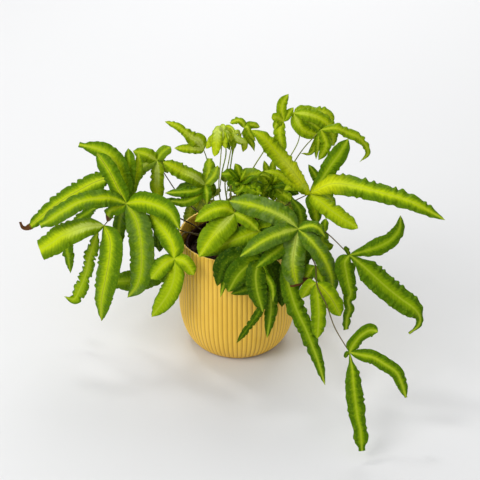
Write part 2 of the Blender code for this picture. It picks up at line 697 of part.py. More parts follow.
def make_soil(collection):
    """The root ball and its soil, with a seat for the crown."""
    foot = POT_FLOOR + NURSERY_WALL + 2 * GAP
    inner = nursery_radius(SOIL_TOP) - NURSERY_WALL - 2 * GAP
    seat = SOIL_TOP - CROWN_SUNK - GAP
    profile = [
        (0.0, seat),
        (CROWN_RADIUS + GAP, seat),
        (CROWN_RADIUS + 2 * GAP, SOIL_TOP + SOIL_MOUND),
        (0.8 * inner, SOIL_TOP - SOIL_MOUND),
        (inner, SOIL_TOP - 4 * SOIL_MOUND),
        (nursery_radius(foot) - NURSERY_WALL - 3 * GAP, foot),
        (0.0, foot),
    ]
    mesh = turned_mesh("soil", profile, NURSERY_STEPS, collection)
    add_object("soil", mesh, collection, material("dark_soil", (0.035, 0.022, 0.014), 0.95))


def make_crown(collection, cutters):
    """The short scaly rootstock that every stalk grows from, a low mound with one hole a stalk."""
    low = SOIL_TOP - CROWN_SUNK
    profile = [
        (0.0, CROWN_TOP),
        (0.55 * CROWN_RADIUS, CROWN_TOP - 0.0008),
        (0.85 * CROWN_RADIUS, CROWN_TOP - 0.003),
        (CROWN_RADIUS - GAP, SOIL_TOP),
        (0.93 * CROWN_RADIUS, low),
        (0.0, low),
    ]
    mesh = turned_mesh("crown", profile, CROWN_STEPS, collection)
    made = add_object("crown", mesh, collection, material("brown_scales", (0.09, 0.05, 0.025), 0.9))
    places = [(f["root_mm"][0] * MM, f["root_mm"][1] * MM) for f in FRONDS.values()]
    bottom = CROWN_TOP - STALK_ROOT_DEPTH - 2 * GAP
    drill(made, "stalk_holes", places, STALK_HOLE_RADIUS, bottom, CROWN_TOP + DRILL_OVERSHOOT, cutters)


def smooth_path(points, spacing, least, most):
    """Evenly spaced points on a smooth curve through the given points, and each one's share of it."""
    ends = [points[0] * 2 - points[1], *points, points[-1] * 2 - points[-2]]
    fine = []
    for before, start, end, after in zip(ends, ends[1:], ends[2:], ends[3:]):
        for i in range(12):
            t = i / 12
            fine.append(
                0.5
                * (
                    2 * start
                    + (end - before) * t
                    + (2 * before - 5 * start + 4 * end - after) * t**2
                    + (3 * start - before - 3 * end + after) * t**3
                )
            )
    fine.append(points[-1])
    steps = np.array([(b - a).length for a, b in zip(fine, fine[1:])])
    along = np.concatenate([[0.0], np.cumsum(steps)])
    count = min(most, max(least, round(along[-1] / spacing)))
    stations = np.linspace(0, along[-1], count + 1)
    columns = [np.interp(stations, along, [p[axis] for p in fine]) for axis in range(3)]
    return [Vector(place) for place in zip(*columns)], along[::12] / along[-1]


def stalk_points(plan):
    root = Vector((plan["root_mm"][0] * MM, plan["root_mm"][1] * MM, CROWN_TOP))
    return [root + Vector((0, 0, STALK_UPRIGHT))] + [seen_at(*place) for place in plan["stalk_px"]]


def stalk_mesh(name, plan, collection):
    """A round stalk: straight up out of the crown, then one smooth arch to the last leaflets."""
    points = stalk_points(plan)
    root = points[0] - Vector((0, 0, STALK_UPRIGHT + STALK_ROOT_DEPTH))
    path = [root] + smooth_path(points, STALK_ROW, *STALK_ROWS)[0]
    path.append(path[-1] + (path[-1] - path[-2]).normalized() * STALK_RADIUS)
    curve = bpy.data.curves.new(name, "CURVE")
    curve.dimensions = "3D"
    curve.bevel_depth = STALK_RADIUS
    curve.bevel_resolution = 0
    curve.use_fill_caps = True
    spline = curve.splines.new("POLY")
    spline.points.add(len(path) - 1)
    for point, place in zip(spline.points, path):
        point.co = (*place, 1.0)
    tube = add_object(name + "_stalk", curve, collection)
    mesh = evaluated_mesh(tube)
    bpy.data.objects.remove(tube)
    bm = bmesh.new()
    bm.from_mesh(mesh)
    bmesh.ops.remove_doubles(bm, verts=bm.verts, dist=0.00001)
    bm.to_mesh(mesh)
    bm.free()
    return mesh


def half_width(t, leaf, place_shares):
    """Half the leaflet's width at t along it: narrow at the base, widest near a third, then a taper."""
    rise = (1 - (1 - min(t / BLADE_WIDE_FROM, 1.0)) ** 2) ** BLADE_RISE_POWER
    past = max(0.0, t - BLADE_TAPER_FROM) / (1 - BLADE_TAPER_FROM)
    fall = max(1 - past ** (BLUNT_POWER if leaf["blunt"] else POINTED_POWER), leaf["cut"])
    widths = [place[3] if len(place) > 3 else 1.0 for place in leaf["path_px"]]
    share = np.interp(t, place_shares, [widths[0], *widths])
    return max(leaf["width"] * rise * fall * share, BLADE_LEAST_WIDTH) / 2


def blade_frames(path, facing):
    """The leaflet's normal and its sideways direction at each point of its rib, facing one way."""
    facing = Vector(facing).normalized()
    normals = []
    for i in range(len(path)):
        tangent = (path[min(i + 1, len(path) - 1)] - path[max(i - 1, 0)]).normalized()
        wanted = facing - tangent * facing.dot(tangent)
        carried = normals[-1][0] if normals else wanted.normalized()
        carried = (carried - tangent * carried.dot(tangent)).normalized()
        normal = (carried * (1 - wanted.length**2) + wanted).normalized()
        normals.append((normal, tangent.cross(normal)))
    return normals


def blade_mesh(name, leaf, hub, facing):
    """A leaflet from its fork to its tip: a grid of triangles along the rib, waved at its edges."""
    base = seen_at(*leaf["base_px"]) if leaf["base_px"] else hub
    points = [base] + [seen_at(*place[:3]) for place in leaf["path_px"]]
    path, place_shares = smooth_path(points, BLADE_ROW, *BLADE_ROWS)
    frames = blade_frames(path, facing)
    rows = len(path) - 1
    bm = bmesh.new()
    bmesh.ops.create_grid(bm, x_segments=rows, y_segments=2, size=0.5)
    bmesh.ops.triangulate(bm, faces=bm.faces)
    for vertex in bm.verts:
        along = vertex.co.x + 0.5
        row = round(along * rows)
        side = round(2 * vertex.co.y)
        normal, across = frames[row]
        turn = 1 if (row + (side > 0)) % 2 else -1
        half = half_width(along, leaf, place_shares) * (1 + SCALLOP * turn)
        edge_wave = turn * min(leaf["wave"], MOST_WAVE * half) * abs(side)
        droop = DROOP * half * abs(side)
        vertex.co = path[row] + across * (side * half) + normal * (edge_wave - droop)
    mesh = bpy.data.meshes.new(name)
    bm.to_mesh(mesh)
    bm.free()
    return mesh


def make_frond(name, plan, collection):
    """The stalk and all its leaflets, joined in one solid."""
    finish = material(name + "_green", YOUNG_GREEN if name in YOUNG_FRONDS else LEAF_GREEN, 0.45)
    made = add_object(name, stalk_mesh(name, plan, collection), collection, finish)
    hub = stalk_points(plan)[-1]
    pieces = new_collection(name + "_leaflets", hidden=True)
    for number, leaf in enumerate(plan["pinnae"]):
        mesh = blade_mesh(f"{name}_leaflet_{number}", leaf, hub, plan["facing"])
        piece = add_object(mesh.name, mesh, pieces)
        thick = piece.modifiers.new("Thickness", "SOLIDIFY")
        thick.thickness = BLADE_THICKNESS
        thick.offset = 0.0
    join = made.modifiers.new("Join", "BOOLEAN")
    join.operation = "UNION"
    join.operand_type = "COLLECTION"
    join.collection = pieces
    join.solver = "MANIFOLD"
    joined = evaluated_mesh(made)
    made.modifiers.clear()
    made.data = joined
    joined.name = name
    joined.materials.clear()
    joined.materials.append(finish)
    for piece in list(pieces.objects):
        bpy.data.objects.remove(piece)
    bpy.data.collections.remove(pieces)
    joined.shade_smooth()
    joined.set_sharp_from_angle(angle=math.radians(50))
    return made


def main():
    clear_scene()
    plant = new_collection("potted_brake_fern")
    cutters = new_collection("cutters", hidden=True)
    make_cover_pot(plant, cutters)
    make_nursery_pot(plant, cutters)
    make_soil(plant)
    make_crown(plant, cutters)
    for name, plan in FRONDS.items():
        make_frond(name, plan, plant)


main()
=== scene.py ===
"""How the potted brake fern looks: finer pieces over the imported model, with materials, light and camera.

Metres, +Z up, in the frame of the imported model. Each frond follows the same places as its solid, so its
piece stands where the solid does.
"""

import math
from itertools import combinations

import bpy
import numpy as np
from mathutils import Matrix, Vector, noise


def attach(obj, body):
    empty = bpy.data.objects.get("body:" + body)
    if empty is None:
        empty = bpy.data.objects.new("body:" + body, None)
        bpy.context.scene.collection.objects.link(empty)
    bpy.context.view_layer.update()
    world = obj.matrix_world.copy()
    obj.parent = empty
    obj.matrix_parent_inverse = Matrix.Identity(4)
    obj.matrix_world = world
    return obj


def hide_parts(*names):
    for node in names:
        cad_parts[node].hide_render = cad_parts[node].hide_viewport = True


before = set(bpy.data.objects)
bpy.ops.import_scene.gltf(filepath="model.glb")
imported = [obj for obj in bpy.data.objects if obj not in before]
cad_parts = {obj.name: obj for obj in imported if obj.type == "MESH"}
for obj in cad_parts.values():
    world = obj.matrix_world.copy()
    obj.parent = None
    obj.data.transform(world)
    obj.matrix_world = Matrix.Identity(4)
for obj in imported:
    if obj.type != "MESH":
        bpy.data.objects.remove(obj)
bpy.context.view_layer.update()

MM = 0.001
TURN = 2 * math.pi
CORNER_TURN = [math.radians(a) for a in (30, 60, 90)]

# Cover pot
POT_HEIGHT = 0.143
BELLY_RADIUS = 0.070
BELLY_HEIGHT = 0.055
BELLY_POWER = 0.6
FOOT_RADIUS = 0.048
RIM_RADIUS = 0.0685
POT_WALL = 0.0026
POT_FLOOR = 0.003
POT_LIP = 0.0009
POT_CORNER = 0.004
POT_ROWS = 44
POT_ROW_POWER = 1.7
POT_INNER_ROWS = 26
FOOT_RING = 0.004
FOOT_RECESS = 0.0009
FOOT_BEVEL = 0.0006
PLAIN_FOOT = 0.0035
RIB_COUNT = 76
RIB_DEPTH = 0.0011
RIB_STEPS = 8
RIB_FADE = (0.4 * PLAIN_FOOT, 2.4 * PLAIN_FOOT)
RIB_ROUNDING = 0.012
LIP_RIB_SHARE = 0.7
INNER_RIB_DEPTH = 0.0009
POT_SHARP_DEGREES = 60

# Nursery pot. A bevel is how far it reaches across, then up.
GAP = 0.0003
NURSERY_FOOT_RADIUS = 0.043
NURSERY_RIM_RADIUS = 0.0585
NURSERY_RIM_HEIGHT = 0.131
NURSERY_WALL = 0.0012
NURSERY_LIP = 0.0022
NURSERY_LIP_HEIGHT = 0.008
NURSERY_LIP_SIDE = 0.0012
NURSERY_BEAD = 0.0011
NURSERY_CORNER = 0.002
NURSERY_ROWS = 12
NURSERY_STEPS = 120
NURSERY_FOOT_INSET = 0.0015
NURSERY_FOOT_BEVEL = (0.0004, 0.0005)
NURSERY_LIP_BEVEL = (0.0006, 0.0003)
NURSERY_MOUTH_BEVEL = (0.0005, 0.0006)
DRAIN_HOLES = 6
DRAIN_RADIUS = 0.004
DRAIN_RING_RADIUS = 0.030
DRAIN_CUT_DEPTH = 0.006
DRAIN_STEPS = 24
NURSERY_SHARP_DEGREES = 50

# Soil. A roughness is its falloff, its finer scale and its octaves.
SOIL_TOP = 0.121
SOIL_BED = 0.002
SOIL_SHOULDER = 0.006
SOIL_WALL_SHARES = (0.3, 0.6, 1.0)
SOIL_RINGS = 46
SOIL_COLUMNS = 150
SOIL_LUMP = 0.0011
SOIL_LIFT = 0.0006
SOIL_CRUMBS_PER_M = 260
SOIL_HEAPS_PER_M = 70
SOIL_HEAP = 0.8
SOIL_ROUGHNESS = (0.9, 2.1, 4)
SOIL_SHARP_DEGREES = 50
SOIL_SEED = 11
GOLDEN = (1 + math.sqrt(5)) / 2
GRAIN_EDGE_LIMIT = 2.01
GRAIN_COUNT = 900
GRAIN_CORNERS = (0.65, 1.2)
GRAIN_STRETCH = (0.6, 1.25)
GRAIN_SPREAD = (0.18, 0.97)
GRAIN_SIZES = (0.0005, 0.0017)
GRAIN_SUNK = 0.0012
PALE_GRAINS = 0.035
MOST_GRAIN_PALE = 0.35

# Crown
CROWN_RADIUS = 0.031
CROWN_HEIGHT = 0.013
CROWN_SUNK = 0.006
CROWN_TOP = SOIL_TOP - CROWN_SUNK + CROWN_HEIGHT
CROWN_FOOT_SHARE = 0.93
CROWN_EDGE = 0.001
CROWN_DOME = 0.0068
CROWN_FIRST_RING = 0.08
CROWN_RINGS = 12
CROWN_COLUMNS = 60
CROWN_LUMP = 0.0009
CROWN_LUMPS_PER_M = 300
CROWN_ROUGHNESS = (0.9, 2.0, 3)
CROWN_SHARP_DEGREES = 60
CROWN_SEED = 5
SCALE_COUNT = 420
SCALE_SPREAD = 0.95
SCALE_SUNK = 0.0015
SCALE_LENGTHS = (0.0022, 0.0052)
SCALE_HALF_WIDTHS = (0.0004, 0.0009)
SCALE_HALF_THICKNESS = 0.00018
SCALE_BEND = 0.0012
SCALE_LEAN = 0.35
SCALE_UPRIGHT = 0.9
SCALE_SIDE_RISE = 0.3
SCALE_PALE = (0.2, 1.0)
SCALE_ROWS = ((0.0, 0.8), (0.4, 1.0), (0.8, 0.4))

# Stalks. They carry the blades' own marks too, all of them 0.
STALK_ROOT_RADIUS = 0.00100
STALK_TIP_RADIUS = 0.00055
STALK_ROOT_DEPTH = 0.007
STALK_UPRIGHT = 0.008
STALK_SIDES = 8
STALK_ROW = 0.0022
STALK_FACING = (0.3, -0.9, 0.2)
STALK_MARK_MM = 100
BLADE_MARKS = ("across_mm", "rim", "under", "band", "pale", "glow", "gloss", "rib", "dry")
PATH_STEPS = 12
LEAST_STATIONS = 8

# Leaflets. A pair of shares is where something starts, from the base or the midrib, and where it is
# full. A warp is its size and its length in waves.
LEAF_ROW = 0.00075
LEAF_COLUMNS = (-1.0, -0.88, -0.72, -0.54, -0.36, -0.19, -0.06, 0.06, 0.19, 0.36, 0.54, 0.72, 0.88, 1.0)
LEAF_THICKNESS = 0.00045
LEAF_EDGE_THICKNESS = 0.00028
RIB_UNDER = 0.0005
RIB_HALF_WIDTH = 0.0006
PETIOLE_THICKNESS = 0.0012
PETIOLE_SHARES = (0.02, 0.13)
BASE_HALF_WIDTH = 0.00055
TIP_HALF_WIDTH = 0.00022
BLADE_WIDE_FROM = 0.26
BLADE_TAPER_FROM = 0.35
BLADE_RISE_POWER = 0.8
POINTED_POWER = 3.6
BLUNT_POWER = 6.0
PLAIN_WAVE_MM = 1.2
MOST_WAVE = 0.40
WAVE_GAIN = 1.15
WAVE_POWER = 1.7
WAVE_PERIODS = (0.85, 1.15)
WAVE_WARPS = ((1.5, 2.7), (0.8, 1.6))
WAVE_LAG = 0.9
WAVES_FROM = (0.04, 0.25)
WAVES_TO = (0.8, 1.0)
WAVE_LOSS = 0.5
WAVE_SIZE = 0.65
WAVE_SIZE_SWING = 0.35
WAVE_SIZE_LENGTH = 3.3
FOLD = 0.24
DROOP = 0.34
DROOP_POWER = 2.2
SCALLOP = 0.048
SCALLOP_POWER = 1.5
TOOTH = 0.008
TOOTH_PITCH = 0.0023
BITE_PITCHES = (0.013, 0.023)
BITE_DEPTHS = (0.35, 0.8)
PLEAT = 0.00014
PLEAT_PITCH = 0.0027
PLEATED_HALF_WIDTH = 0.004
PLEATS_FROM = (0.05, 0.4)
VEIN_SLANT = 0.55
MOST_ROLL = math.radians(9)
ROLL_CENTRE = 0.35
TWIST = 1.5
DRY_FADE = 0.4
MOST_SEED = 50
FROND_SHARP_DEGREES = 55
FROND_SEED = 100

# Colours, in linear light. The edge and the middle go from deep, a painted shade for leaves in shadow, to
# plain to young, and the band from dull to bright to pale. A stalk goes from its root to its tip. Peat and
# rootstock are dark, light and then grains.
EDGE_GREENS = ((0.019, 0.055, 0.0006), (0.086, 0.186, 0.0010), (0.255, 0.390, 0.0020))
MIDDLE_GREENS = ((0.051, 0.112, 0.0010), (0.235, 0.368, 0.0020), (0.390, 0.515, 0.0030))
BAND_GREENS = ((0.260, 0.400, 0.0016), (0.515, 0.635, 0.0034), (0.600, 0.720, 0.1400))
GLOW_YELLOW = (0.780, 0.840, 0.0080)
# A highlight painted into the leaf colour
PAINTED_SHEEN_GREY = (0.215, 0.305, 0.0900)
VEIN_GREEN = (0.045, 0.100, 0.0012)
MOTTLE_GREEN = (0.330, 0.420, 0.0150)
# Painted shade along the leaf's edge
RIM_SHADE_GREEN = (0.040, 0.090, 0.002)
LINE_GREEN = (0.520, 0.620, 0.045)
MIDRIB_BROWN = (0.120, 0.085, 0.018)
UNDERSIDE_GREEN = (0.260, 0.350, 0.040)
DRY_BROWN = (0.110, 0.045, 0.012)
MATURE_STALK = ((0.060, 0.032, 0.012), (0.130, 0.100, 0.028))
YOUNG_STALK = ((0.330, 0.370, 0.060), (0.370, 0.450, 0.060))
STALK_STREAK = (0.075, 0.065, 0.018)
MUSTARD = ((0.880, 0.545, 0.055), (0.915, 0.583, 0.069))
# Painted shade for the pot, in its grooves and at its foot
GROOVE_SHADE_MUSTARD = (0.470, 0.245, 0.016)
FOOT_SHADE_MUSTARD = (0.520, 0.265, 0.010)
POT_BROWN = (0.018, 0.006, 0.004)
POT_DUST = (0.042, 0.018, 0.010)
PEAT = ((0.014, 0.006, 0.004), (0.050, 0.020, 0.010), (0.16, 0.11, 0.07))
ROOTSTOCK = ((0.045, 0.022, 0.010), (0.095, 0.050, 0.022), (0.21, 0.12, 0.055))
FLOOR_GREY = (0.72, 0.72, 0.72, 1.0)
SKY_COLOUR = (0.97, 0.98, 1.0, 1.0)

# Studio. An area light is its name, its place, what it points at, its size in m and its power in W.
FLOOR_HALF_SIDE = 8.0
SKY_STRENGTH = 0.58
AREA_LIGHTS = (
    ("key", (-1.3, -1.1, 1.5), (0, 0, 0.1), 1.2, 23.0),
    ("top", (-0.8, 0.8, 2.2), (0, 0, 0.1), 0.30, 10.0),
    ("back", (0.3, 2.1, 1.9), (0, 0.6, 0.0), 1.8, 33.0),
)

# The viewpoint that the leaf places are read from: a square picture, looking down at the plant
PICTURE_SIDE_PX = 480.0
PICTURE_CENTRE_PX = PICTURE_SIDE_PX / 2
EYE_DISTANCE = 1.30
EYE_PITCH = math.radians(30.0)
AIM = Vector((0.0029, 0.0, 0.1329))
METRES_PER_PX = 0.001165
FOCAL_PX = EYE_DISTANCE / METRES_PER_PX
LOOKING = Vector((0.0, math.cos(EYE_PITCH), -math.sin(EYE_PITCH)))
PICTURE_UP = Vector((0.0, math.sin(EYE_PITCH), math.cos(EYE_PITCH)))
EYE = AIM - LOOKING * EYE_DISTANCE
SENSOR_MM = 36.0


def seen_at(across_px, down_px, ahead_mm):
    """The point seen at this pixel, in the upright plane that many mm ahead of the pot's axis."""
    ray = LOOKING + Vector((1, 0, 0)) * ((across_px - PICTURE_CENTRE_PX) / FOCAL_PX)
    ray -= PICTURE_UP * ((down_px - PICTURE_CENTRE_PX) / FOCAL_PX)
    return EYE + ray * ((-ahead_mm * MM - EYE.y) / ray.y)


def pinna(width_mm, path_px, wave_mm=PLAIN_WAVE_MM, base_px=None, blunt=False, cut=0.0, **looks):
    """One leaflet. A place is (px across, px down, mm ahead), and may add its share of the full width.

    base_px is its fork, if not the last, and cut is the least share left at its tip. Its looks
    override its frond's: see PLAIN_LOOKS.
    """
    return dict(
        width=width_mm * MM, path_px=path_px, wave=wave_mm * MM, base_px=base_px, blunt=blunt, cut=cut,
        looks=looks,
    )


def frond(root_mm, stalk_px, facing, pinnae, **looks):
    """root_mm is where the stalk leaves the crown. The last place of stalk_px is the last fork."""
    return dict(root_mm=root_mm, stalk_px=stalk_px, facing=facing, pinnae=pinnae, looks=looks)


# Where a stalk forks below its last leaflets
LEFT_FORK_PX = (126.5, 203.5, 18)
LEFT_LOWER_FORK_PX = (104, 225.5, 24)
TRAILING_UPPER_FORK_PX = (315.5, 266, 97)
TRAILING_FORK_PX = (316.5, 283, 114)
RIGHT_LOW_FORK_PX = (325.5, 232, 72)

FRONDS = {
    # Left side of the plant
    "frond_left_front": frond(
        root_mm=(-22, -8),
        stalk_px=((197, 227, 4), (179, 218, 4), (151, 206, 12), LEFT_FORK_PX, LEFT_LOWER_FORK_PX,
                  (98, 232.5, 25)),
        facing=(-0.35, -0.75, 0.55),
        pinnae=[
            pinna(22.5, ((122, 180, 2), (115.3, 161.7, -10), (101, 150, -20), (79, 144.5, -30)),
                base_px=LEFT_FORK_PX, cut=0.28, band=0.34, pale=0.45),
            pinna(21, ((119, 190, 16), (111, 174, 12), (104, 163, 4), (97, 153, -6)),
                base_px=LEFT_FORK_PX, blunt=True, band=0.22, pale=0.5, rib=1.0),
            pinna(22, ((119, 189, 6, 0.08), (110, 180, 3, 0.45), (101, 180, 1, 0.95),
                (87, 186, -4, 1.05), (62, 200.5, -10), (42, 216, -14), (29, 227, -14, 0.8),
                (23, 227.5, -14, 0.7), (20, 222, -14, 0.5)), 1.8, base_px=LEFT_FORK_PX, band=0.34,
                pale=0.6, dry=0.14, cut=0.3, rib=0.6),
            pinna(21, ((112, 198.5, 24, 0.95), (98, 198.3, 30), (80, 201.8, 36, 0.93), (60, 213, 38),
                (48, 221, 36, 1.15), (40, 225, 36, 1.1)), 1.4, base_px=LEFT_FORK_PX, blunt=True,
                cut=0.35, band=0.28, pale=0.45, gloss=0.25),
            pinna(18, ((98, 207.5, 2, 0.15), (89, 212, -8, 0.8), (76, 222, -13, 0.6), (67.5, 243, -18),
                (68.5, 258, -18, 1.1), (70.5, 273, -18, 1.1)), 1.4, base_px=LEFT_FORK_PX, blunt=True,
                youth=-0.1, band=0.1, pale=0.1),
            pinna(18, ((120.5, 218, 6), (118.5, 233, 2, 0.95), (116.8, 252, 0)), base_px=LEFT_FORK_PX,
                youth=-0.2, band=0.1),
            pinna(18, ((127.5, 183, -2), (129, 165, -12), (128.3, 148.3, -22)), base_px=LEFT_FORK_PX,
                blunt=True, youth=0.1, band=0.12, pale=0.2),
            pinna(29.5, ((136.3, 220, 32), (141, 243, 44), (141.3, 268, 52), (136.8, 286, 54, 0.85),
                (127.5, 297.5, 54, 0.6)), 1.0, base_px=LEFT_FORK_PX, blunt=True, youth=-0.15, band=0.24,
                pale=0.3, gloss=0.4, rib=0.5),
            pinna(24, ((141, 201.5, 28), (157, 205.5, 44), (170, 213, 56), (180, 230, 62)), 1.0,
                base_px=LEFT_FORK_PX, band=0.3, pale=0.4),
            pinna(30, ((88, 226.5, 34, 0.76), (75, 230.5, 38, 0.95), (61, 236.5, 40, 1.05),
                (52, 243, 40, 1.15), (40, 250, 40)), 1.0, base_px=LEFT_LOWER_FORK_PX, blunt=True,
                cut=0.85, youth=0.2, band=0.4, pale=0.8),
            pinna(33, ((110, 240, 38), (109.5, 258, 44), (105.5, 280, 49), (101.7, 300, 50),
                (101.5, 321, 50)), 1.0, base_px=LEFT_LOWER_FORK_PX, youth=0.05, band=0.28, pale=0.4,
                rib=0.8),
            pinna(18, ((95, 241, 25), (90, 256, 24), (86, 274, 21, 0.9), (79.5, 290, 18, 1.25),
                (74, 299, 16, 1.1), (64, 296.5, 14, 0.5)), 1.6, blunt=True, ragged=0.35, band=0.45,
                pale=0.2, youth=0.1),
        ],
    ),
    "frond_left_back": frond(
        root_mm=(-18, 12),
        stalk_px=((198, 212, -30), (180, 196, -46), (166, 176, -54), (157, 160.5, -52)),
        facing=(-0.2, -0.7, 0.68), pale=0.7, youth=0.6,
        pinnae=[
            pinna(17, ((147, 154.5, -52), (133, 151, -56)), band=0.25, pale=0.7),
            pinna(19, ((144.5, 165, -46, 0.92), (134, 176.5, -44), (126, 193, -44)), band=0.2, pale=0.9,
                gloss=0.5),
            pinna(16, ((162, 152.5, -60), (170.5, 146.5, -68)), 0.8, blunt=True, youth=0.5, band=0.08),
            pinna(18.5, ((157.2, 174, -42, 0.88), (157.2, 189, -37), (158.7, 203, -34)), 1.6, youth=1.0,
                band=0.4, pale=0.9),
            pinna(12, ((164, 166, -60), (168, 173, -66)), band=0.1),
        ],
    ),
    "frond_left_low": frond(
        root_mm=(-22, -15),
        stalk_px=((190, 233, 22), (181, 237, 40), (174.5, 258.5, 56)),
        facing=(-0.3, -0.8, 0.5), youth=-0.15,
        pinnae=[
            pinna(27, ((172, 243, 52), (162, 227.5, 37), (149.5, 213.5, 23)), youth=0.05, band=0.35,
                pale=0.5),
            pinna(19, ((164, 264, 60), (151, 279, 63)), blunt=True, youth=0.15, band=0.45, pale=0.4),
            pinna(24, ((174.5, 275, 64), (168.7, 293, 66), (151.7, 317, 64)), 1.0, youth=0.15, band=0.6,
                pale=0.3),
            pinna(15, ((185, 262, 66), (194, 275, 70)), blunt=True, youth=0.75, band=0.4, pale=0.55),
            pinna(27.5, ((163, 268.5, 46), (139, 279.5, 26), (122, 281.2, 12), (103, 281.5, 0)), 1.4,
                youth=0.15, band=0.2, pale=0.1),
        ],
    ),
    "frond_left_under": frond(
        root_mm=(-27, 2),
        stalk_px=((186, 232, -2), (170, 227.5, 4), (159, 231, 6)),
        facing=(-0.4, -0.7, 0.5), youth=-0.4, band=0.1,
        pinnae=[
            pinna(15, ((158, 240, 6), (159.5, 252, 6)), youth=-0.7, band=0.0),
            pinna(10, ((152, 222, 0), (146, 214, -6))),
            pinna(13, ((160, 214, -12), (168, 203, -20), (183, 201, -26))),
        ],
    ),
    # Upper left, a young frond above an older one
    "frond_upper_left": frond(
        root_mm=(-10, 8),
        stalk_px=((214, 222, -4), (208, 202, -4), (205, 185, 0)),
        facing=(-0.1, -0.6, 0.75), pale=0.45, youth=0.4,
        pinnae=[
            pinna(20, ((195, 177, 8), (184, 172.4, 12), (173, 166.7, 14), (163, 162, 14)), 1.4,
                blunt=True, youth=0.5, band=0.4, pale=0.85),
            pinna(12, ((195, 190.5, 10), (182, 192, 12), (165, 193, 10)), 1.4, youth=0.0, band=0.2,
                pale=0.25),
            pinna(14, ((208.5, 173, -8), (209.5, 158.3, -18)), blunt=True, cut=0.5, youth=0.5, band=0.25,
                gloss=0.3),
            pinna(13, ((213.5, 176, -2), (218, 165.5, -8)), youth=0.5, band=0.2, gloss=0.4),
            pinna(13, ((197, 196, 12), (185, 202, 18), (170, 201, 18)), youth=0.1, band=0.2, pale=0.25),
            pinna(11, ((207, 193, 12), (207, 204, 16)), youth=0.0, band=0.2, pale=0.25),
        ],
    ),
    "frond_upper_left_young": frond(
        root_mm=(-12, 14),
        stalk_px=((216, 214, -28), (212, 186, -40), (207, 160, -42), (203.7, 150, -40)),
        facing=(-0.1, -0.7, 0.7), youth=0.9, band=0.4, pale=0.8, stalk=0.9,
        pinnae=[
            pinna(20, ((199, 142, -38), (192, 137.5, -37, 0.8), (184, 131, -38, 0.48),
                (176, 125.5, -40, 0.48), (165, 121.5, -42, 0.45)), 1.6, blunt=True),
            pinna(12, ((195, 148.8, -32), (184, 148.3, -28), (174.5, 148.2, -26))),
        ],
    ),
    # A tuft of young fronds, still half folded
    "frond_tuft_left": frond(
        root_mm=(-2, 10),
        stalk_px=((224, 212, -2), (219, 190, 3), (220.5, 160, 5), (223, 131, 4)),
        facing=(-0.2, -0.7, 0.6), youth=1.0, band=0.7, pale=0.8, stalk=1.0,
        pinnae=[
            pinna(11.5, ((218, 130, 8), (216.5, 142, 14), (214.5, 156.5, 18)), blunt=True),
            pinna(9, ((212.5, 138.5, -2), (206, 148.5, -6)), blunt=True, youth=0.8),
            pinna(8, ((222, 127.5, -2), (216, 131.5, -8))),
            pinna(8, ((224, 139, 12), (226, 149, 16)), youth=0.3, pale=0.5),
        ],
    ),
    "frond_tuft_right": frond(
        root_mm=(3, 16),
        stalk_px=((229, 206, -16), (225, 184, -22), (229, 160, -26), (234, 134, -26)),
        facing=(0.2, -0.7, 0.6), youth=1.0, band=0.6, pale=0.7, stalk=1.0,
        pinnae=[
            pinna(8, ((230, 128, -32), (223, 129, -36))),
            pinna(6, ((238, 132, -30), (241, 139, -36)), youth=0.7),
            pinna(9, ((238, 139.5, -20), (244.5, 143, -16), (243, 152, -14)), pale=1.0),
            pinna(8, ((230, 140, -16), (229, 149, -12)), youth=0.2, pale=0.4),
        ],
    ),
    "frond_top_left": frond(
        root_mm=(9, 20),
        stalk_px=((234, 206, -34), (230, 182, -46), (233, 152, -52), (244.5, 128, -56)),
        facing=(0.0, -0.7, 0.7), youth=0.75, band=0.3, pale=0.6, stalk=1.0,
        pinnae=[
            pinna(8.5, ((242.5, 122.7, -57), (237.5, 120.2, -58), (230, 123, -60)), blunt=True),
            pinna(9, ((252, 124.5, -60), (260, 127, -64))),
            pinna(12, ((248.5, 136.5, -50), (252.3, 144, -49, 0.6), (254.5, 151.5, -48, 0.35)), 1.4,
                youth=0.55),
        ],
    ),
    # Right side, above
    "frond_right": frond(
        root_mm=(18, 4),
        stalk_px=((262, 222, 6), (285, 206, 14), (310, 193.3, 20)),
        facing=(0.15, -0.6, 0.78),
        pinnae=[
            pinna(22, ((300, 181, 26, 0.88), (291.5, 169.5, 30), (282, 158.5, 31), (272.5, 148, 30),
                (262.5, 137, 28), (251, 130, 26)), 1.4, blunt=True, youth=0.75, band=0.45, pale=0.8,
                glow=1.5),
            pinna(27, ((331, 184, 28), (351, 185.5, 36), (376, 191.5, 48, 0.86), (400, 198, 57, 0.86),
                (418, 205, 63, 0.86), (445, 220, 70)), 1.8, youth=0.1, band=0.3, pale=0.62, glow=0.75,
                period=13),
            pinna(20.5, ((321, 180, 18, 0.6), (330.3, 166, 15), (339.5, 153.5, 10), (348.3, 139, 6)),
                1.6, blunt=True, youth=0.0, band=0.2, pale=0.1, glow=0.4),
            pinna(21.5, ((323.7, 204.5, 36), (337.5, 215, 47), (358, 228.5, 60)), 1.4, blunt=True,
                youth=0.9, band=0.5, pale=0.55),
            pinna(17, ((315, 208, 34), (317, 224.5, 42)), band=0.3, pale=0.4),
            pinna(14, ((292, 182, 34), (278, 173.5, 40), (264, 171, 42)), youth=0.9, band=0.6, pale=0.6,
                glow=0.75),
            pinna(14, ((314, 188, 8, 0.2), (317, 179, 4, 0.8), (308.5, 164.5, -2)), youth=0.1,
                band=0.15),
            pinna(17, ((325, 194, 14), (336, 206, 8)), youth=0.2, band=0.2),
        ],
    ),
    "frond_top_spray": frond(
        root_mm=(6, 8),
        stalk_px=((241, 210, -6), (247, 180, -6), (264, 151, -2), (276, 134, 2), (283.5, 121.5, 6)),
        facing=(0.0, -0.75, 0.65), youth=0.85, band=0.3, pale=0.45, stalk=1.0,
        pinnae=[
            pinna(11.5, ((281.5, 110, 4), (283, 102, 1), (288.5, 94, -2))),
            pinna(11, ((277, 117.5, 10), (271.5, 118, 12)), blunt=True),
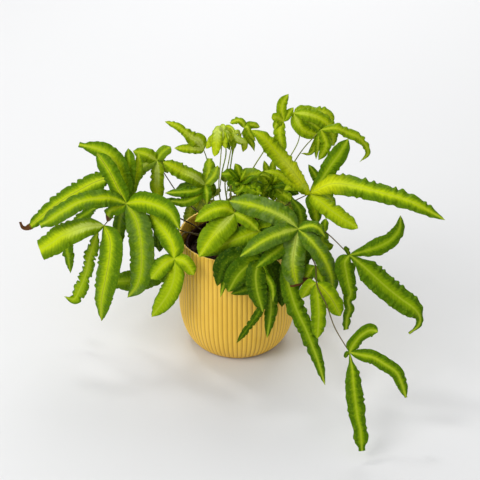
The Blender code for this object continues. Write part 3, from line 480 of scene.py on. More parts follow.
            pinna(8, ((288, 114, 2), (293.5, 107.5, -2))),
            pinna(13, ((279.5, 131, 14), (281, 145, 19), (282, 160, 24)), 1.6, ragged=0.15),
        ],
    ),
    "frond_top_right": frond(
        root_mm=(14, 16),
        stalk_px=((254, 206, -24), (274, 182, -40), (290, 157, -50), (299.5, 136, -54), (294, 113, -54)),
        facing=(0.1, -0.7, 0.7), youth=0.9, band=0.3, pale=0.65, stalk=1.0,
        pinnae=[
            pinna(14, ((301, 110.5, -58, 1.1), (315, 111.5, -62), (328, 113.5, -66), (333, 125, -66)),
                1.4, blunt=True, pale=0.85),
            pinna(16, ((307, 114, -46), (321, 119, -42), (331, 129, -40), (334, 146, -40)), blunt=True,
                youth=0.65),
            pinna(16, ((299, 125, -44), (306, 131.5, -41), (322, 136, -40)), youth=0.85),
            pinna(9, ((289, 113, -50), (288, 120.5, -48))),
        ],
    ),
    "frond_far_right": frond(
        root_mm=(20, 14),
        stalk_px=((262, 206, -16), (280, 184, -22), (300.5, 152.5, -22), (312, 139, -20),
                  (321, 130, -20)),
        facing=(0.1, -0.7, 0.7), youth=0.7, band=0.3, pale=0.4, stalk=0.5,
        pinnae=[
            pinna(13, ((336, 128, -22), (348, 133, -24), (357, 136.5, -25), (363, 142, -26, 0.75),
                (367.5, 149, -26, 0.6), (367, 155, -26, 0.5), (359.5, 162, -26, 0.25)), 1.6, blunt=True),
            pinna(7, ((318.5, 141, -14), (317.5, 153, -12)), youth=0.45),
            pinna(12, ((326, 143, -12), (324, 151, -8), (318.5, 160, -6)), 1.4, youth=0.55),
            pinna(6, ((313, 147, -24), (307.5, 155, -26))),
        ],
    ),
    # The bushy middle
    "frond_middle_left": frond(
        root_mm=(2, 0),
        stalk_px=((236, 218, 8), (236, 198, 12), (240, 182, 14)),
        facing=(-0.05, -0.6, 0.75), youth=0.45, band=0.14, pale=0.4,
        pinnae=[
            pinna(13, ((231, 174.5, 16), (221, 174, 14)), youth=0.25),
            pinna(11, ((238, 169, 10), (235, 163.5, 6)), youth=0.45),
            pinna(16, ((250, 175, 18), (262, 172, 16)), 1.6, youth=0.55, gloss=0.6),
            pinna(13, ((246, 191, 24), (243, 200, 28)), youth=0.05),
            pinna(17, ((250, 187, 26), (262, 194, 30)), 1.6),
        ],
    ),
    "frond_middle_right": frond(
        root_mm=(10, -2),
        stalk_px=((248, 218, 2), (258, 200, -4), (272, 184, -4)),
        facing=(0.1, -0.6, 0.75), youth=0.35, band=0.2, pale=0.45,
        pinnae=[
            pinna(9, ((267.5, 172, -4), (264, 160.5, -6)), youth=1.0, pale=0.85),
            pinna(15, ((283, 181, -6), (296, 187, -6)), 1.6, youth=-0.35, band=0.0),
            pinna(17, ((280, 192, 6), (293, 201, 12)), 1.6, youth=0.55),
            pinna(13, ((262, 180, -12), (252, 177, -20)), youth=0.35),
            pinna(9, ((272.5, 172, -14), (273, 159.5, -20)), youth=1.0, pale=0.85),
        ],
    ),
    # Front
    "frond_front_left": frond(
        root_mm=(-6, -6),
        stalk_px=((226, 226, 22), (230, 216, 38), (234.5, 213, 48)),
        facing=(-0.1, -0.65, 0.72), pale=0.45, youth=0.55,
        pinnae=[
            pinna(20, ((224, 208, 50), (210, 211.5, 54), (195, 221.5, 58)), band=0.28, pale=0.5),
            pinna(29, ((222, 226, 62), (210, 240, 74), (199, 257, 84)), 1.0, band=0.26, pale=0.75),
            pinna(15, ((247, 220, 58), (259, 231, 66)), band=0.25, pale=0.6),
        ],
    ),
    "frond_front": frond(
        root_mm=(8, -14),
        stalk_px=((256, 226, 24), (280, 221, 52), (298, 229, 76)),
        facing=(0.0, -0.65, 0.72), pale=0.2, youth=-0.25,
        pinnae=[
            pinna(25, ((285, 218, 74), (267, 209.5, 68), (248, 204, 60), (229.5, 201, 50)), 1.0,
                blunt=True, band=0.24, pale=0.75, gloss=0.75),
            pinna(21, ((284, 232, 88), (265, 240, 98), (240, 256.5, 102)), 1.0, band=0.26, pale=0.7,
                gloss=0.3),
            pinna(16, ((284, 245, 88), (270, 256, 98), (255.5, 268, 101)), band=0.15, pale=0.05),
            pinna(25, ((294.5, 248, 92), (293, 266, 98), (297, 286, 98)), 1.0, blunt=True, cut=0.6,
                band=0.26, pale=0.9, gloss=0.8, dry=0.06, rib=0.5),
            pinna(21, ((312, 242, 90), (323, 257, 96), (331, 276, 96), (332.5, 297, 92)), 1.0, band=0.22,
                pale=0.6, gloss=0.45),
            pinna(13, ((310, 225.5, 78), (318, 228, 80), (325, 236.5, 79)), band=0.25, pale=0.6,
                gloss=0.3),
            pinna(24, ((266, 229.5, 60), (242, 237, 64), (221, 246, 68), (203, 256.5, 68)), 1.0,
                youth=-0.15, band=0.34, pale=0.35),
        ],
    ),
    "frond_front_under": frond(
        root_mm=(2, -24),
        stalk_px=((245, 240, 46), (254, 248, 68), (262, 259, 78)),
        facing=(0.0, -0.95, 0.3), youth=-0.75, band=0.22, pale=0.0,
        pinnae=[
            pinna(22, ((242, 256, 79), (225, 262.5, 82), (217, 286, 84)), youth=-0.95, band=0.05),
            pinna(28, ((250, 264, 84), (238, 275, 88), (228, 292, 88)), youth=-0.5),
            pinna(9, ((238, 262, 70), (226, 279, 76), (220.5, 297, 78)), youth=-0.15),
            pinna(18, ((256, 279, 80), (246, 289, 82), (231, 294, 82)), youth=-0.65, band=0.1),
            pinna(22, ((256, 272, 92), (257, 290, 94), (263, 312, 94)), 1.6, youth=-0.65, band=0.25,
                pale=0.1),
            pinna(9, ((264, 290, 88), (261, 308, 90), (250, 325, 90), (236.5, 343, 88)), 1.8, blunt=True,
                ragged=0.3, youth=-0.65, band=0.0),
            pinna(15, ((269, 280, 84), (271, 308, 84), (267, 338, 84)), 1.6, youth=-0.55),
            pinna(21, ((273, 270, 76), (281, 287, 76), (282, 307, 78)), youth=-1.0, band=0.05),
        ],
    ),
    "frond_front_trailing": frond(
        root_mm=(13, -22),
        stalk_px=((262, 238, 48), (277, 246, 68), (284, 262, 84)),
        facing=(0.1, -0.95, 0.3), youth=-0.3, band=0.26, pale=0.05,
        pinnae=[
            pinna(20, ((288, 283, 90), (296, 308, 98), (306.1, 330, 108, 0.9), (312.4, 346, 114, 0.83),
                (318, 361, 122, 0.86), (325, 385, 132)), 2.4, period=13),
            pinna(16, ((292, 271, 80), (299, 290, 82)), youth=-0.7, band=0.1),
        ],
    ),
    # Right side, trailing
    "frond_right_trailing": frond(
        root_mm=(20, -16),
        stalk_px=((275, 236, 40), (296, 243, 60), (310, 256, 80), TRAILING_UPPER_FORK_PX,
                  TRAILING_FORK_PX, (321, 294, 124), (327, 306, 136), (335, 328, 158),
                  (349.5, 352.3, 180)),
        facing=(0.2, -0.9, 0.4),
        pinnae=[
            pinna(16.5, ((317.6, 298, 120), (318.7, 315, 124), (317.3, 338.5, 126)), 1.4,
                base_px=TRAILING_FORK_PX, blunt=True, youth=0.3, band=0.35, pale=0.25),
            pinna(19, ((326, 292, 118), (333.5, 302, 120), (340.5, 316, 122)), 1.4,
                base_px=TRAILING_FORK_PX, blunt=True, youth=0.4, band=0.35, pale=0.35, rib=0.6),
            pinna(15, ((309, 287, 110), (301.5, 298.5, 108)), base_px=TRAILING_FORK_PX, youth=0.6,
                band=0.3, pale=0.3),
            pinna(16, ((309, 273, 92), (303, 285, 90)), base_px=TRAILING_UPPER_FORK_PX, youth=0.1,
                band=0.2, dry=0.5),
            pinna(15, ((353, 345, 178), (359.5, 336.7, 176, 0.85), (367.5, 331, 176),
                (373.3, 330.3, 176, 1.2), (378, 332, 178, 1.3)), 1.0, blunt=True, youth=-0.1, band=0.28,
                pale=0.1),
            pinna(15, ((362, 355, 182), (373.5, 357.5, 185), (385, 364.3, 189), (396, 372, 192, 0.95),
                (401.5, 383, 195, 0.85), (406, 397.5, 198, 0.95)), 1.4, blunt=True, cut=0.2, youth=-0.1,
                band=0.24, pale=0.25),
            pinna(18.5, ((351, 362, 184, 0.35), (352.5, 372, 190, 0.8), (353.5, 385, 196, 0.93),
                (355.5, 402, 205, 1.05), (357.5, 417, 214, 0.92), (360, 428, 220, 0.8),
                (361, 438, 225, 1.1), (362, 451, 230, 1.3)), 1.8, blunt=True, cut=0.3, youth=-0.1,
                band=0.18, pale=0.3),
        ],
    ),
    "frond_right_low": frond(
        root_mm=(25, -6),
        stalk_px=((280, 226, 28), (303, 219, 52), RIGHT_LOW_FORK_PX, (349.5, 255, 90)),
        facing=(0.25, -0.75, 0.6), youth=-0.15, band=0.24, pale=0.05,
        pinnae=[
            pinna(20, ((361, 252, 90, 0.55), (378, 246.7, 90), (391, 239.5, 90, 0.85),
                (399, 229, 88, 0.9), (400.5, 215.5, 86)), 1.4, band=0.15),
            pinna(28, ((359, 262.5, 94, 0.6), (368.3, 270.7, 98), (385, 286, 106), (400.5, 298.5, 112),
                (414, 308.5, 118), (419.8, 317.5, 120, 0.48), (418, 326, 121, 0.5),
                (409, 333.5, 122, 0.4)), 1.4, cut=0.25),
            pinna(22, ((344.8, 262, 93, 1.35), (346.2, 273, 96), (348.5, 285, 102, 0.85),
                (350.5, 293.5, 105, 0.78), (348, 301, 106, 0.42), (349.5, 309.5, 106, 0.6),
                (347, 318, 106, 0.5), (346, 329.5, 106, 1.0)), 1.6, blunt=True, cut=0.3),
            pinna(9, ((324.5, 226, 70), (326, 218.5, 66)), base_px=RIGHT_LOW_FORK_PX, youth=0.1,
                band=0.1),
            pinna(13, ((322, 241, 66), (328, 246, 62), (333.5, 245, 60)), base_px=RIGHT_LOW_FORK_PX,
                blunt=True, youth=0.2, band=0.1),
        ],
    ),
    # Far side, hidden from the front
    "frond_back_upright_left": frond(
        root_mm=(-8, 18),
        stalk_px=((230, 206, -40), (231, 188, -60), (232, 178, -74)),
        facing=(-0.2, 0.45, 0.87),
        pinnae=[
            pinna(16, ((228, 174, -86), (226, 182, -100))),
            pinna(17, ((234, 174, -90), (237, 184, -106))),
            pinna(15, ((239, 177, -74), (245, 186, -78))),
            pinna(13, ((232, 186, -64), (229, 197, -58))),
        ],
    ),
    "frond_back_upright_right": frond(
        root_mm=(9, 25),
        stalk_px=((253, 206, -44), (262, 190, -62), (268, 180, -76)),
        facing=(0.2, 0.45, 0.87),
        pinnae=[
            pinna(16, ((263, 175, -88), (258, 182, -102))),
            pinna(17, ((271, 176, -92), (276, 186, -108))),
            pinna(15, ((279, 179, -76), (290, 187, -80))),
            pinna(13, ((266, 188, -64), (264, 199, -58))),
        ],
    ),
    "frond_back_left": frond(
        root_mm=(-16, 22),
        stalk_px=((214, 212, -50), (206, 196, -78), (203, 200, -102)),
        facing=(-0.3, 0.75, 0.6),
        pinnae=[
            pinna(19, ((192, 208, -122), (187, 229, -134))),
            pinna(20, ((203, 214, -128), (206, 240, -140))),
            pinna(19, ((215, 208, -120), (223, 226, -132))),
            pinna(15, ((190, 196, -96), (180, 206, -92))),
            pinna(15, ((212, 194, -88), (220, 188, -74))),
        ],
    ),
    "frond_back": frond(
        root_mm=(0, 27),
        stalk_px=((236, 208, -52), (240, 190, -84), (243, 194, -112)),
        facing=(0.0, 0.8, 0.55),
        pinnae=[
            pinna(19, ((232, 204, -130), (229, 226, -146))),
            pinna(21, ((245, 210, -138), (247, 238, -152))),
            pinna(19, ((256, 203, -128), (264, 224, -142))),
            pinna(15, ((232, 188, -98), (226, 192, -88))),
            pinna(15, ((252, 188, -100), (262, 190, -92))),
        ],
    ),
    "frond_back_right": frond(
        root_mm=(15, 22),
        stalk_px=((258, 208, -50), (274, 192, -78), (284, 196, -102)),
        facing=(0.35, 0.75, 0.55),
        pinnae=[
            pinna(19, ((280, 212, -124), (276, 234, -136))),
            pinna(20, ((289, 213, -122), (290, 241, -134))),
            pinna(18, ((290, 204, -112), (285, 222, -124))),
            pinna(15, ((276, 190, -112), (268, 194, -122))),
            pinna(15, ((290, 189, -86), (294, 190, -72))),
        ],
    ),
}

# Small leaflets too fine for the solids, kept within the fronds that they grow on
SMALL_PINNAE = {
    "frond_left_front": [
        pinna(18, ((114, 209, 20), (109, 213, 18), (107, 222, 18)), base_px=LEFT_FORK_PX, ragged=0.2,
            dry=0.3),
        pinna(14, ((133, 182, -6), (138, 166, -16), (138.5, 152, -24)), base_px=LEFT_FORK_PX, youth=0.5,
            band=0.5, pale=0.7),
    ],
    "frond_upper_left": [
        pinna(12, ((195, 185.5, 2), (186, 185.5, -2), (176, 188.5, -4)), youth=-0.8, band=0.0),
        pinna(10, ((201, 192, 6), (196, 199, 8), (197, 208, 10)), 0.8, youth=1.0, band=0.9, pale=1.0),
        pinna(10, ((211, 186, 2), (213, 196, 4)), youth=-0.5, band=0.1),
        pinna(12, ((199, 189, -6), (190, 193, -10), (178, 196, -14)), youth=-0.8, band=0.0),
    ],
    "frond_tuft_left": [
        pinna(1.4, ((226, 152, 4), (222, 172, 2), (219, 195, 2)), 0.2, youth=0.8, band=0.0),
        pinna(1.4, ((232, 147, 0), (230, 170, 0), (226, 200, 0)), 0.2, youth=0.5, band=0.0),
        pinna(7, ((219, 133, 6), (213, 138, 8), (211, 146, 8)), youth=0.9),
        pinna(6, ((226, 129, 0), (233, 132, -4)), youth=0.9),
        pinna(7, ((228, 134, 4), (232, 141, 6)), youth=0.3),
        pinna(7, ((221, 138, 12), (220, 148, 14)), youth=0.3),
        pinna(6, ((226, 142, 8), (230, 150, 8)), youth=-0.2, band=0.0),
        pinna(6, ((219, 133, -6), (213.5, 137.5, -10)), youth=0.9),
        pinna(6, ((227, 138, 10), (224, 144, 14), (227, 148, 15)), youth=0.4),
    ],
    "frond_tuft_right": [
        pinna(7, ((232, 133, -28), (227, 137, -24)), youth=0.6),
        pinna(7, ((234, 142, -22), (233, 150, -20)), youth=0.1, pale=0.1),
    ],
    "frond_top_left": [
        pinna(8, ((247, 127, -52), (250, 134, -48), (255.5, 141, -46)), youth=0.7),
    ],
    "frond_top_spray": [
        pinna(8, ((277, 123, 10), (274.5, 130, 12)), youth=0.6),
    ],
    "frond_top_right": [
        pinna(8, ((314, 125, -44), (324, 131, -42)), base_px=(300, 118, -50), youth=0.3),
        pinna(9, ((318, 128, -42), (326, 139, -40)), base_px=(306, 120, -48), youth=0.4),
    ],
    "frond_far_right": [
        pinna(5, ((312, 152, -24), (301, 153.5, -24)), youth=0.5),
        pinna(6, ((317, 150, -18), (316, 159, -18)), youth=0.4),
        pinna(6, ((329, 139, -18), (333, 146, -18)), youth=0.4),
    ],
    "frond_right": [
        pinna(15, ((303, 186, 26), (292, 186, 30), (284, 190, 32)), youth=0.9, band=0.5, pale=0.7,
            glow=0.9),
    ],
    "frond_middle_left": [
        pinna(7, ((236, 176, 20), (231, 171, 22), (226, 169, 24)), youth=0.0, band=0.0),
        pinna(6, ((242, 177, 22), (246, 170, 24)), youth=0.7),
        pinna(7, ((246, 181, 24), (252, 177, 26), (257, 178, 27)), youth=-0.2, band=0.0),
        pinna(6, ((243, 186, 24), (239, 191, 26), (234, 192, 27)), youth=0.5),
        pinna(7, ((247, 186, 24), (253, 189, 28), (256, 195, 30)), youth=-0.1, band=0.0),
        pinna(6, ((237, 183, 20), (230, 185, 22)), youth=0.2),
        pinna(12, ((246, 180, 14), (258, 181, 14)), youth=0.1, band=0.1),
        pinna(12, ((233, 180, 18), (226, 177.5, 18)), youth=-0.1, band=0.0),
        pinna(10, ((239, 188, 20), (237, 196, 24)), youth=0.3, ragged=0.3),
        pinna(9, ((241, 190, 18), (248, 198, 20)), youth=0.0),
        pinna(12, ((252, 182, 10), (264, 186, 8)), youth=-0.2, band=0.0),
        pinna(10, ((244, 173, 8), (252, 169, 4)), youth=0.6, gloss=0.4),
    ],
    "frond_middle_right": [
        pinna(6, ((270, 178, 4), (264, 175, 6), (258, 176, 7)), youth=1.0, pale=0.6),
        pinna(6, ((275, 179, 4), (280, 173, 4)), youth=1.0, pale=0.7),
        pinna(7, ((276, 186, 6), (283, 185, 8), (289, 188, 8)), youth=-0.35, band=0.0),
        pinna(6, ((270, 188, 6), (265, 192, 8)), youth=0.05, band=0.0),
        pinna(6, ((278, 190, 6), (284, 195, 8)), youth=0.55),
        pinna(6, ((273, 192, 8), (271, 199, 10)), youth=-0.25, band=0.0),
        pinna(14, ((280, 178, -12), (291, 177, -16)), youth=-0.15, band=0.0),
        pinna(15, ((284, 187, -2), (299, 194, -2)), youth=-0.55, band=0.0),
        pinna(13, ((266, 189, 2), (262, 199, 6)), youth=0.15),
        pinna(12, ((273, 192, 4), (274, 201, 6)), youth=0.65, band=0.2),
        pinna(13, ((264, 178, -8), (268, 170, -12)), youth=0.85, pale=0.4),
        pinna(14, ((284, 195, -6), (295, 200, -8)), youth=-0.15, band=0.0),
        pinna(12, ((276, 180, -2), (283, 171, -6)), youth=0.95, pale=0.5),
        pinna(14, ((262, 188, -8), (250, 191, -12)), youth=-0.35, band=0.0),
    ],
    "frond_front_left": [
        pinna(16, ((224, 222, 40), (212, 231, 44), (203, 240, 48)), youth=-0.7, band=0.0),
        pinna(14, ((244, 214, 44), (256, 216, 46)), youth=-0.3, band=0.1),
    ],
    "frond_front": [
        pinna(14, ((301, 221, 66), (299, 209, 58), (291, 198.5, 52)), youth=-0.6, band=0.1),
        pinna(18, ((286, 226, 70), (272, 228, 62), (256, 226, 54)), youth=-0.9, band=0.0),
        pinna(17, ((290, 240, 80), (280, 252, 80), (268, 259, 82)), youth=-0.8, band=0.0),
        pinna(16, ((303, 243, 82), (305, 256, 84), (306, 268, 84)), youth=-0.6, band=0.1),
        pinna(14, ((309, 233, 72), (318, 240, 68)), youth=-0.6, band=0.0),
    ],
    "frond_front_under": [
        pinna(16, ((256, 254, 70), (262, 268, 70), (264, 286, 72)), youth=-0.9, band=0.0),
        pinna(14, ((250, 262, 76), (246, 276, 78), (240, 288, 80)), youth=-0.7, band=0.0),
        pinna(8, ((264, 272, 90), (272, 286, 92), (273, 302, 92)), youth=0.1, band=0.3, pale=0.2),
    ],
    "frond_front_trailing": [
        pinna(18, ((288, 276, 78), (291, 296, 82), (288, 312, 86)), youth=-0.6, band=0.05),
    ],
    "frond_right_trailing": [
        pinna(5, ((346.5, 354, 180), (345.5, 358, 180)), blunt=True, youth=-0.2, band=0.0),
        pinna(13, ((318, 272, 98), (323, 284, 104)), base_px=TRAILING_UPPER_FORK_PX, youth=0.1,
            band=0.2),
    ],
    "frond_right_low": [
        pinna(6, ((347.5, 251, 88), (344.5, 246.5, 88)), blunt=True, youth=-0.5, band=0.0),
    ],
}

# youth and shade: from -1, deep green painted on leaves that sit in shade, to 1, young and yellow-green,
# which is also raised to paint light on lit upper leaves.
# band: the bright band's share of the half width.
# pale: its brightness, also raised to paint light on some leaves. glow: yellow near the base.
# the sheen: a grey highlight painted into the colour. rib: a brown midrib.
# dry: the share of the tip that is brown. ragged: bites in the edge.
# period: mm from one wave to the next. stalk: 1 is pale green.
PLAIN_LOOKS = dict(
    youth=0.0, band=0.28, pale=0.3, glow=0.0, gloss=0.0, rib=0.15,
    dry=0.0, ragged=0.0, period=10.0, stalk=0.0,
)


def smoothstep(low, high, value):
    share = np.clip((value - low) / (high - low), 0.0, 1.0)
    return share * share * (3 - 2 * share)


# Meshes

def join_parts(parts):
    """One part of several. A part has points, faces, their material number, and its marks by name."""
    points, faces, numbers, marks = [], [], [], {key: [] for key in parts[0]["marks"]}
    start = 0
    for part in parts:
        points.append(part["points"])
        faces += [tuple(start + i for i in face) for face in part["faces"]]
        numbers += [part["number"]] * len(part["faces"])
        for key, values in marks.items():
            values.append(np.broadcast_to(part["marks"][key], len(part["points"])))
        start += len(part["points"])
    marks = {key: np.concatenate(values) for key, values in marks.items()}
    return dict(points=np.concatenate(points), faces=faces, numbers=numbers, marks=marks)


def linked(name, data):
    made = bpy.data.objects.new(name, data)
    bpy.context.scene.collection.objects.link(made)
    return made


def mesh_object(name, part, materials, sharp_degrees):
    """An object of the part, with each mark as a float attribute of its points. It is smooth, apart from
    edges that turn by more than sharp_degrees."""
    mesh = bpy.data.meshes.new(name)
    mesh.from_pydata(part["points"].tolist(), [], part["faces"])
    for finish in materials:
        mesh.materials.append(finish)
    if "numbers" in part:
        mesh.polygons.foreach_set("material_index", part["numbers"])
    for key, values in part.get("marks", {}).items():
        layer = mesh.attributes.new(key, "FLOAT", "POINT")
        layer.data.foreach_set("value", np.ascontiguousarray(values, np.float32))
    mesh.shade_smooth()
    mesh.set_sharp_from_angle(angle=math.radians(sharp_degrees))
    mesh.update()
    return linked(name, mesh)


def grid_faces(rows, columns, start=0, closed=False, flip=False):
    """Quads over rows x columns points, numbered row by row."""
    faces = []
    last = columns if closed else columns - 1
    for i in range(rows - 1):
        for j in range(last):
            k = (j + 1) % columns
            quad = (start + i * columns + j, start + i * columns + k,
                    start + (i + 1) * columns + k, start + (i + 1) * columns + j)
            faces.append(quad[::-1] if flip else quad)
    return faces


def turned(profile, columns, shift=None):
    """The closed solid of (radius, height) places turned about Z: from the middle of its foot outwards,
    up, over the rim and down to the middle of its inner floor. shift moves each place out or in."""
    angles = np.arange(columns) * TURN / columns
    inner = profile[1:-1]
    radii = np.array([r for r, _ in inner])[:, None] * np.ones(columns)
    heights = np.array([z for _, z in inner])[:, None] * np.ones(columns)
    if shift is not None:
        radii = radii + shift(angles[None, :], np.arange(len(inner))[:, None])
    points = np.stack([radii * np.cos(angles), radii * np.sin(angles), heights], axis=-1).reshape(-1, 3)
    low, high = len(points), len(points) + 1
    points = np.concatenate([points, [(0, 0, profile[0][1]), (0, 0, profile[-1][1])]])
    faces = grid_faces(len(inner), columns, closed=True)
    top = (len(inner) - 1) * columns
    for j in range(columns):
        k = (j + 1) % columns
        faces.append((low, k, j))
        faces.append((high, top + j, top + k))
    return dict(points=points, faces=faces)


def rounded_edge(radius, height, rounding):
    """A profile's places round an outer top edge, after the upright side below it."""
    return [(radius - rounding + rounding * math.cos(a), height - rounding + rounding * math.sin(a))
            for a in CORNER_TURN]


# The pots

def pot_radius(height):
    """Outer radius of the cover pot: a rounded bowl up to the belly, then a slight taper to the rim."""
    if height < BELLY_HEIGHT:
        up = height / BELLY_HEIGHT
        return FOOT_RADIUS + (BELLY_RADIUS - FOOT_RADIUS) * (1 - (1 - up) ** 2) ** BELLY_POWER
    up = (height - BELLY_HEIGHT) / (POT_HEIGHT - BELLY_HEIGHT)
    return BELLY_RADIUS + (RIM_RADIUS - BELLY_RADIUS) * up**2


def cover_pot_profile():
    """The cover pot's profile, and how deep its grooves are at each turned place, negative inside."""
    shares = np.linspace(0, 1, POT_ROWS) ** POT_ROW_POWER
    outer = [(pot_radius(q * (POT_HEIGHT - POT_LIP)), q * (POT_HEIGHT - POT_LIP)) for q in shares]
    inside_rim = RIM_RADIUS - POT_WALL + POT_LIP
    lip = rounded_edge(RIM_RADIUS, POT_HEIGHT, POT_LIP)
    lip += [(inside_rim - POT_LIP * math.sin(a), POT_HEIGHT - POT_LIP + POT_LIP * math.cos(a))
            for a in CORNER_TURN]
    heights = np.linspace(POT_HEIGHT - POT_CORNER, POT_FLOOR + POT_CORNER, POT_INNER_ROWS)
    inner = [(pot_radius(z) - POT_WALL, z) for z in heights]
    inner.append((FOOT_RADIUS - POT_WALL, POT_FLOOR))
    foot = [(0.0, FOOT_RECESS), (FOOT_RADIUS - FOOT_RING, FOOT_RECESS),
            (FOOT_RADIUS - FOOT_RING + FOOT_BEVEL, 0.0)]
    profile = foot + outer + lip + inner + [(0.0, POT_FLOOR)]
    grooves = np.zeros(len(profile) - 2)
    outer_from = len(foot) - 1
    for i, (_, z) in enumerate(outer):
        grooves[outer_from + i] = RIB_DEPTH * float(smoothstep(*RIB_FADE, z))
    lip_from = outer_from + len(outer)
    grooves[lip_from:lip_from + len(CORNER_TURN)] = RIB_DEPTH * LIP_RIB_SHARE
    grooves[lip_from + len(lip):-1] = -INNER_RIB_DEPTH
    return profile, grooves


def make_cover_pot(finish):
    """The ribbed shell. Its ribs are rounded with narrow grooves between, and show on the inside too."""
    profile, grooves = cover_pot_profile()

    def pressed(angles, row):
        rib = np.sqrt(np.sin(angles * RIB_COUNT / 2) ** 2 + RIB_ROUNDING)
        depth = np.clip(1.0 - rib, 0.0, 1.0)
        inward = grooves[row]
        return np.where(inward > 0, -inward * depth, -inward * (depth - 1.0))

    columns = RIB_COUNT * RIB_STEPS
    part = turned(profile, columns, pressed)
    # How deep each point sits in a groove, which the pot material darkens as painted shade
    angles = np.tile(np.arange(columns) * TURN / columns, len(grooves))
    depth = np.clip(1.0 - np.abs(np.sin(angles * RIB_COUNT / 2)), 0, 1) ** 2
    share = np.repeat(np.abs(grooves) / RIB_DEPTH, columns)
    part["marks"] = dict(painted_groove_shade=np.concatenate([depth * share, [0, 0]]))
    return mesh_object("ribbed_cover_pot", part, [finish], POT_SHARP_DEGREES)


def nursery_radius(height):
    """Outer radius of the nursery pot, which widens evenly from foot to rim."""
    up = (height - POT_FLOOR) / (NURSERY_RIM_HEIGHT - POT_FLOOR)
    return NURSERY_FOOT_RADIUS + (NURSERY_RIM_RADIUS - NURSERY_FOOT_RADIUS) * up


def nursery_pot_profile(foot):
    """The growing pot's profile from its foot's height up to the rolled lip and down inside."""
    foot_radius = nursery_radius(foot)
    lip_bottom = NURSERY_RIM_HEIGHT - NURSERY_LIP_HEIGHT
    edge = NURSERY_RIM_RADIUS + NURSERY_LIP
    inside_rim = NURSERY_RIM_RADIUS - NURSERY_WALL
    walls = np.linspace(foot + NURSERY_CORNER, lip_bottom - NURSERY_CORNER, NURSERY_ROWS)
    profile = [(0.0, foot), (foot_radius - NURSERY_FOOT_INSET, foot),
               (foot_radius - NURSERY_FOOT_BEVEL[0], foot + NURSERY_FOOT_BEVEL[1])]
    profile += [(nursery_radius(z), z) for z in walls]
    profile += [(nursery_radius(lip_bottom), lip_bottom),
                (edge - NURSERY_LIP_BEVEL[0], lip_bottom + NURSERY_LIP_BEVEL[1]),
                (edge, lip_bottom + NURSERY_LIP_SIDE), (edge, NURSERY_RIM_HEIGHT - NURSERY_BEAD)]
    profile += rounded_edge(edge, NURSERY_RIM_HEIGHT, NURSERY_BEAD)
    profile += [(inside_rim + NURSERY_MOUTH_BEVEL[0], NURSERY_RIM_HEIGHT),
                (inside_rim, NURSERY_RIM_HEIGHT - NURSERY_MOUTH_BEVEL[1])]
    profile += [(nursery_radius(z) - NURSERY_WALL, z) for z in walls[::-1]]
    return profile + [(foot_radius - NURSERY_WALL, foot + NURSERY_WALL), (0.0, foot + NURSERY_WALL)]


def drill_drains(made, height):
    """Cuts the ring of drainage holes through the floor at this height."""
    cutters = []
    for i in range(DRAIN_HOLES):
        a = TURN * i / DRAIN_HOLES
        bpy.ops.mesh.primitive_cylinder_add(
            vertices=DRAIN_STEPS, radius=DRAIN_RADIUS, depth=DRAIN_CUT_DEPTH,
            location=(DRAIN_RING_RADIUS * math.cos(a), DRAIN_RING_RADIUS * math.sin(a), height),
        )
        cutters.append(bpy.context.object)
    for cutter in cutters:
        cut = made.modifiers.new("Drain", "BOOLEAN")
        cut.operation = "DIFFERENCE"
        cut.object = cutter
    graph = bpy.context.evaluated_depsgraph_get()
    holed = bpy.data.meshes.new_from_object(made.evaluated_get(graph))
    made.modifiers.clear()
    made.data = holed
    for cutter in cutters:
        bpy.data.objects.remove(cutter)


def make_nursery_pot(finish):
    """The thin growing pot, with a rolled lip and drainage holes."""
    foot = POT_FLOOR + GAP
    shell = turned(nursery_pot_profile(foot), NURSERY_STEPS)
    made = mesh_object("nursery_pot_shell", shell, [finish], NURSERY_SHARP_DEGREES)
    drill_drains(made, foot)
    return made


# Soil and crown

def grain_corners():
    """The twelve corners of a regular solid of twenty triangles with sides of 2."""
    corners = []
    for a in (-1, 1):
        for b in (-GOLDEN, GOLDEN):
            corners += [(0, a, b), (a, b, 0), (b, 0, a)]
    return np.array(corners)


def grain_faces():
    """The twenty faces of a grain, each turned outwards."""
    corners = grain_corners()
    faces = []
    for i, j, k in combinations(range(len(corners)), 3):
        a, b, c = corners[i], corners[j], corners[k]
        if max(np.linalg.norm(a - b), np.linalg.norm(b - c), np.linalg.norm(a - c)) < GRAIN_EDGE_LIMIT:
            outward = np.dot(np.cross(b - a, c - a), a) > 0
            faces.append((i, j, k) if outward else (i, k, j))
    return faces


def grain_points(centre, size, rng):
    """The corners of a small uneven grain."""
    corners = grain_corners() / math.hypot(1, GOLDEN)
    spread = corners * rng.uniform(*GRAIN_CORNERS, (len(corners), 1)) * rng.uniform(*GRAIN_STRETCH, 3)
    turn = np.array(Matrix.Rotation(rng.uniform(0, TURN), 3, Vector(rng.normal(size=3)).normalized()))
    return spread @ turn.T * size + centre


def soil_body(radius):
    """The root ball, with a crumbly surface of this radius."""
    foot = POT_FLOOR + NURSERY_WALL + 2 * GAP
    low = nursery_radius(foot) - NURSERY_WALL - 3 * GAP
    wall_height = SOIL_TOP - SOIL_SHOULDER - foot
    profile = [(0.0, foot), (low, foot)]
    profile += [(low + (radius - low) * q, foot + wall_height * q) for q in SOIL_WALL_SHARES]
    profile += [(r, SOIL_TOP - SOIL_BED) for r in np.linspace(0, radius, SOIL_RINGS + 1)[:0:-1]]
    profile.append((0.0, SOIL_TOP - SOIL_BED))
    body = turned(profile, SOIL_COLUMNS)
    for point in body["points"]:
        if point[2] > SOIL_TOP - 1.5 * SOIL_BED:
            place = Vector(point)
            rough = noise.fractal(place * SOIL_CRUMBS_PER_M, *SOIL_ROUGHNESS)
            rough += SOIL_HEAP * noise.noise(place * SOIL_HEAPS_PER_M)
            point[2] += SOIL_LUMP * rough + SOIL_LIFT
    return dict(body, number=0, marks=dict(pale=0.0))


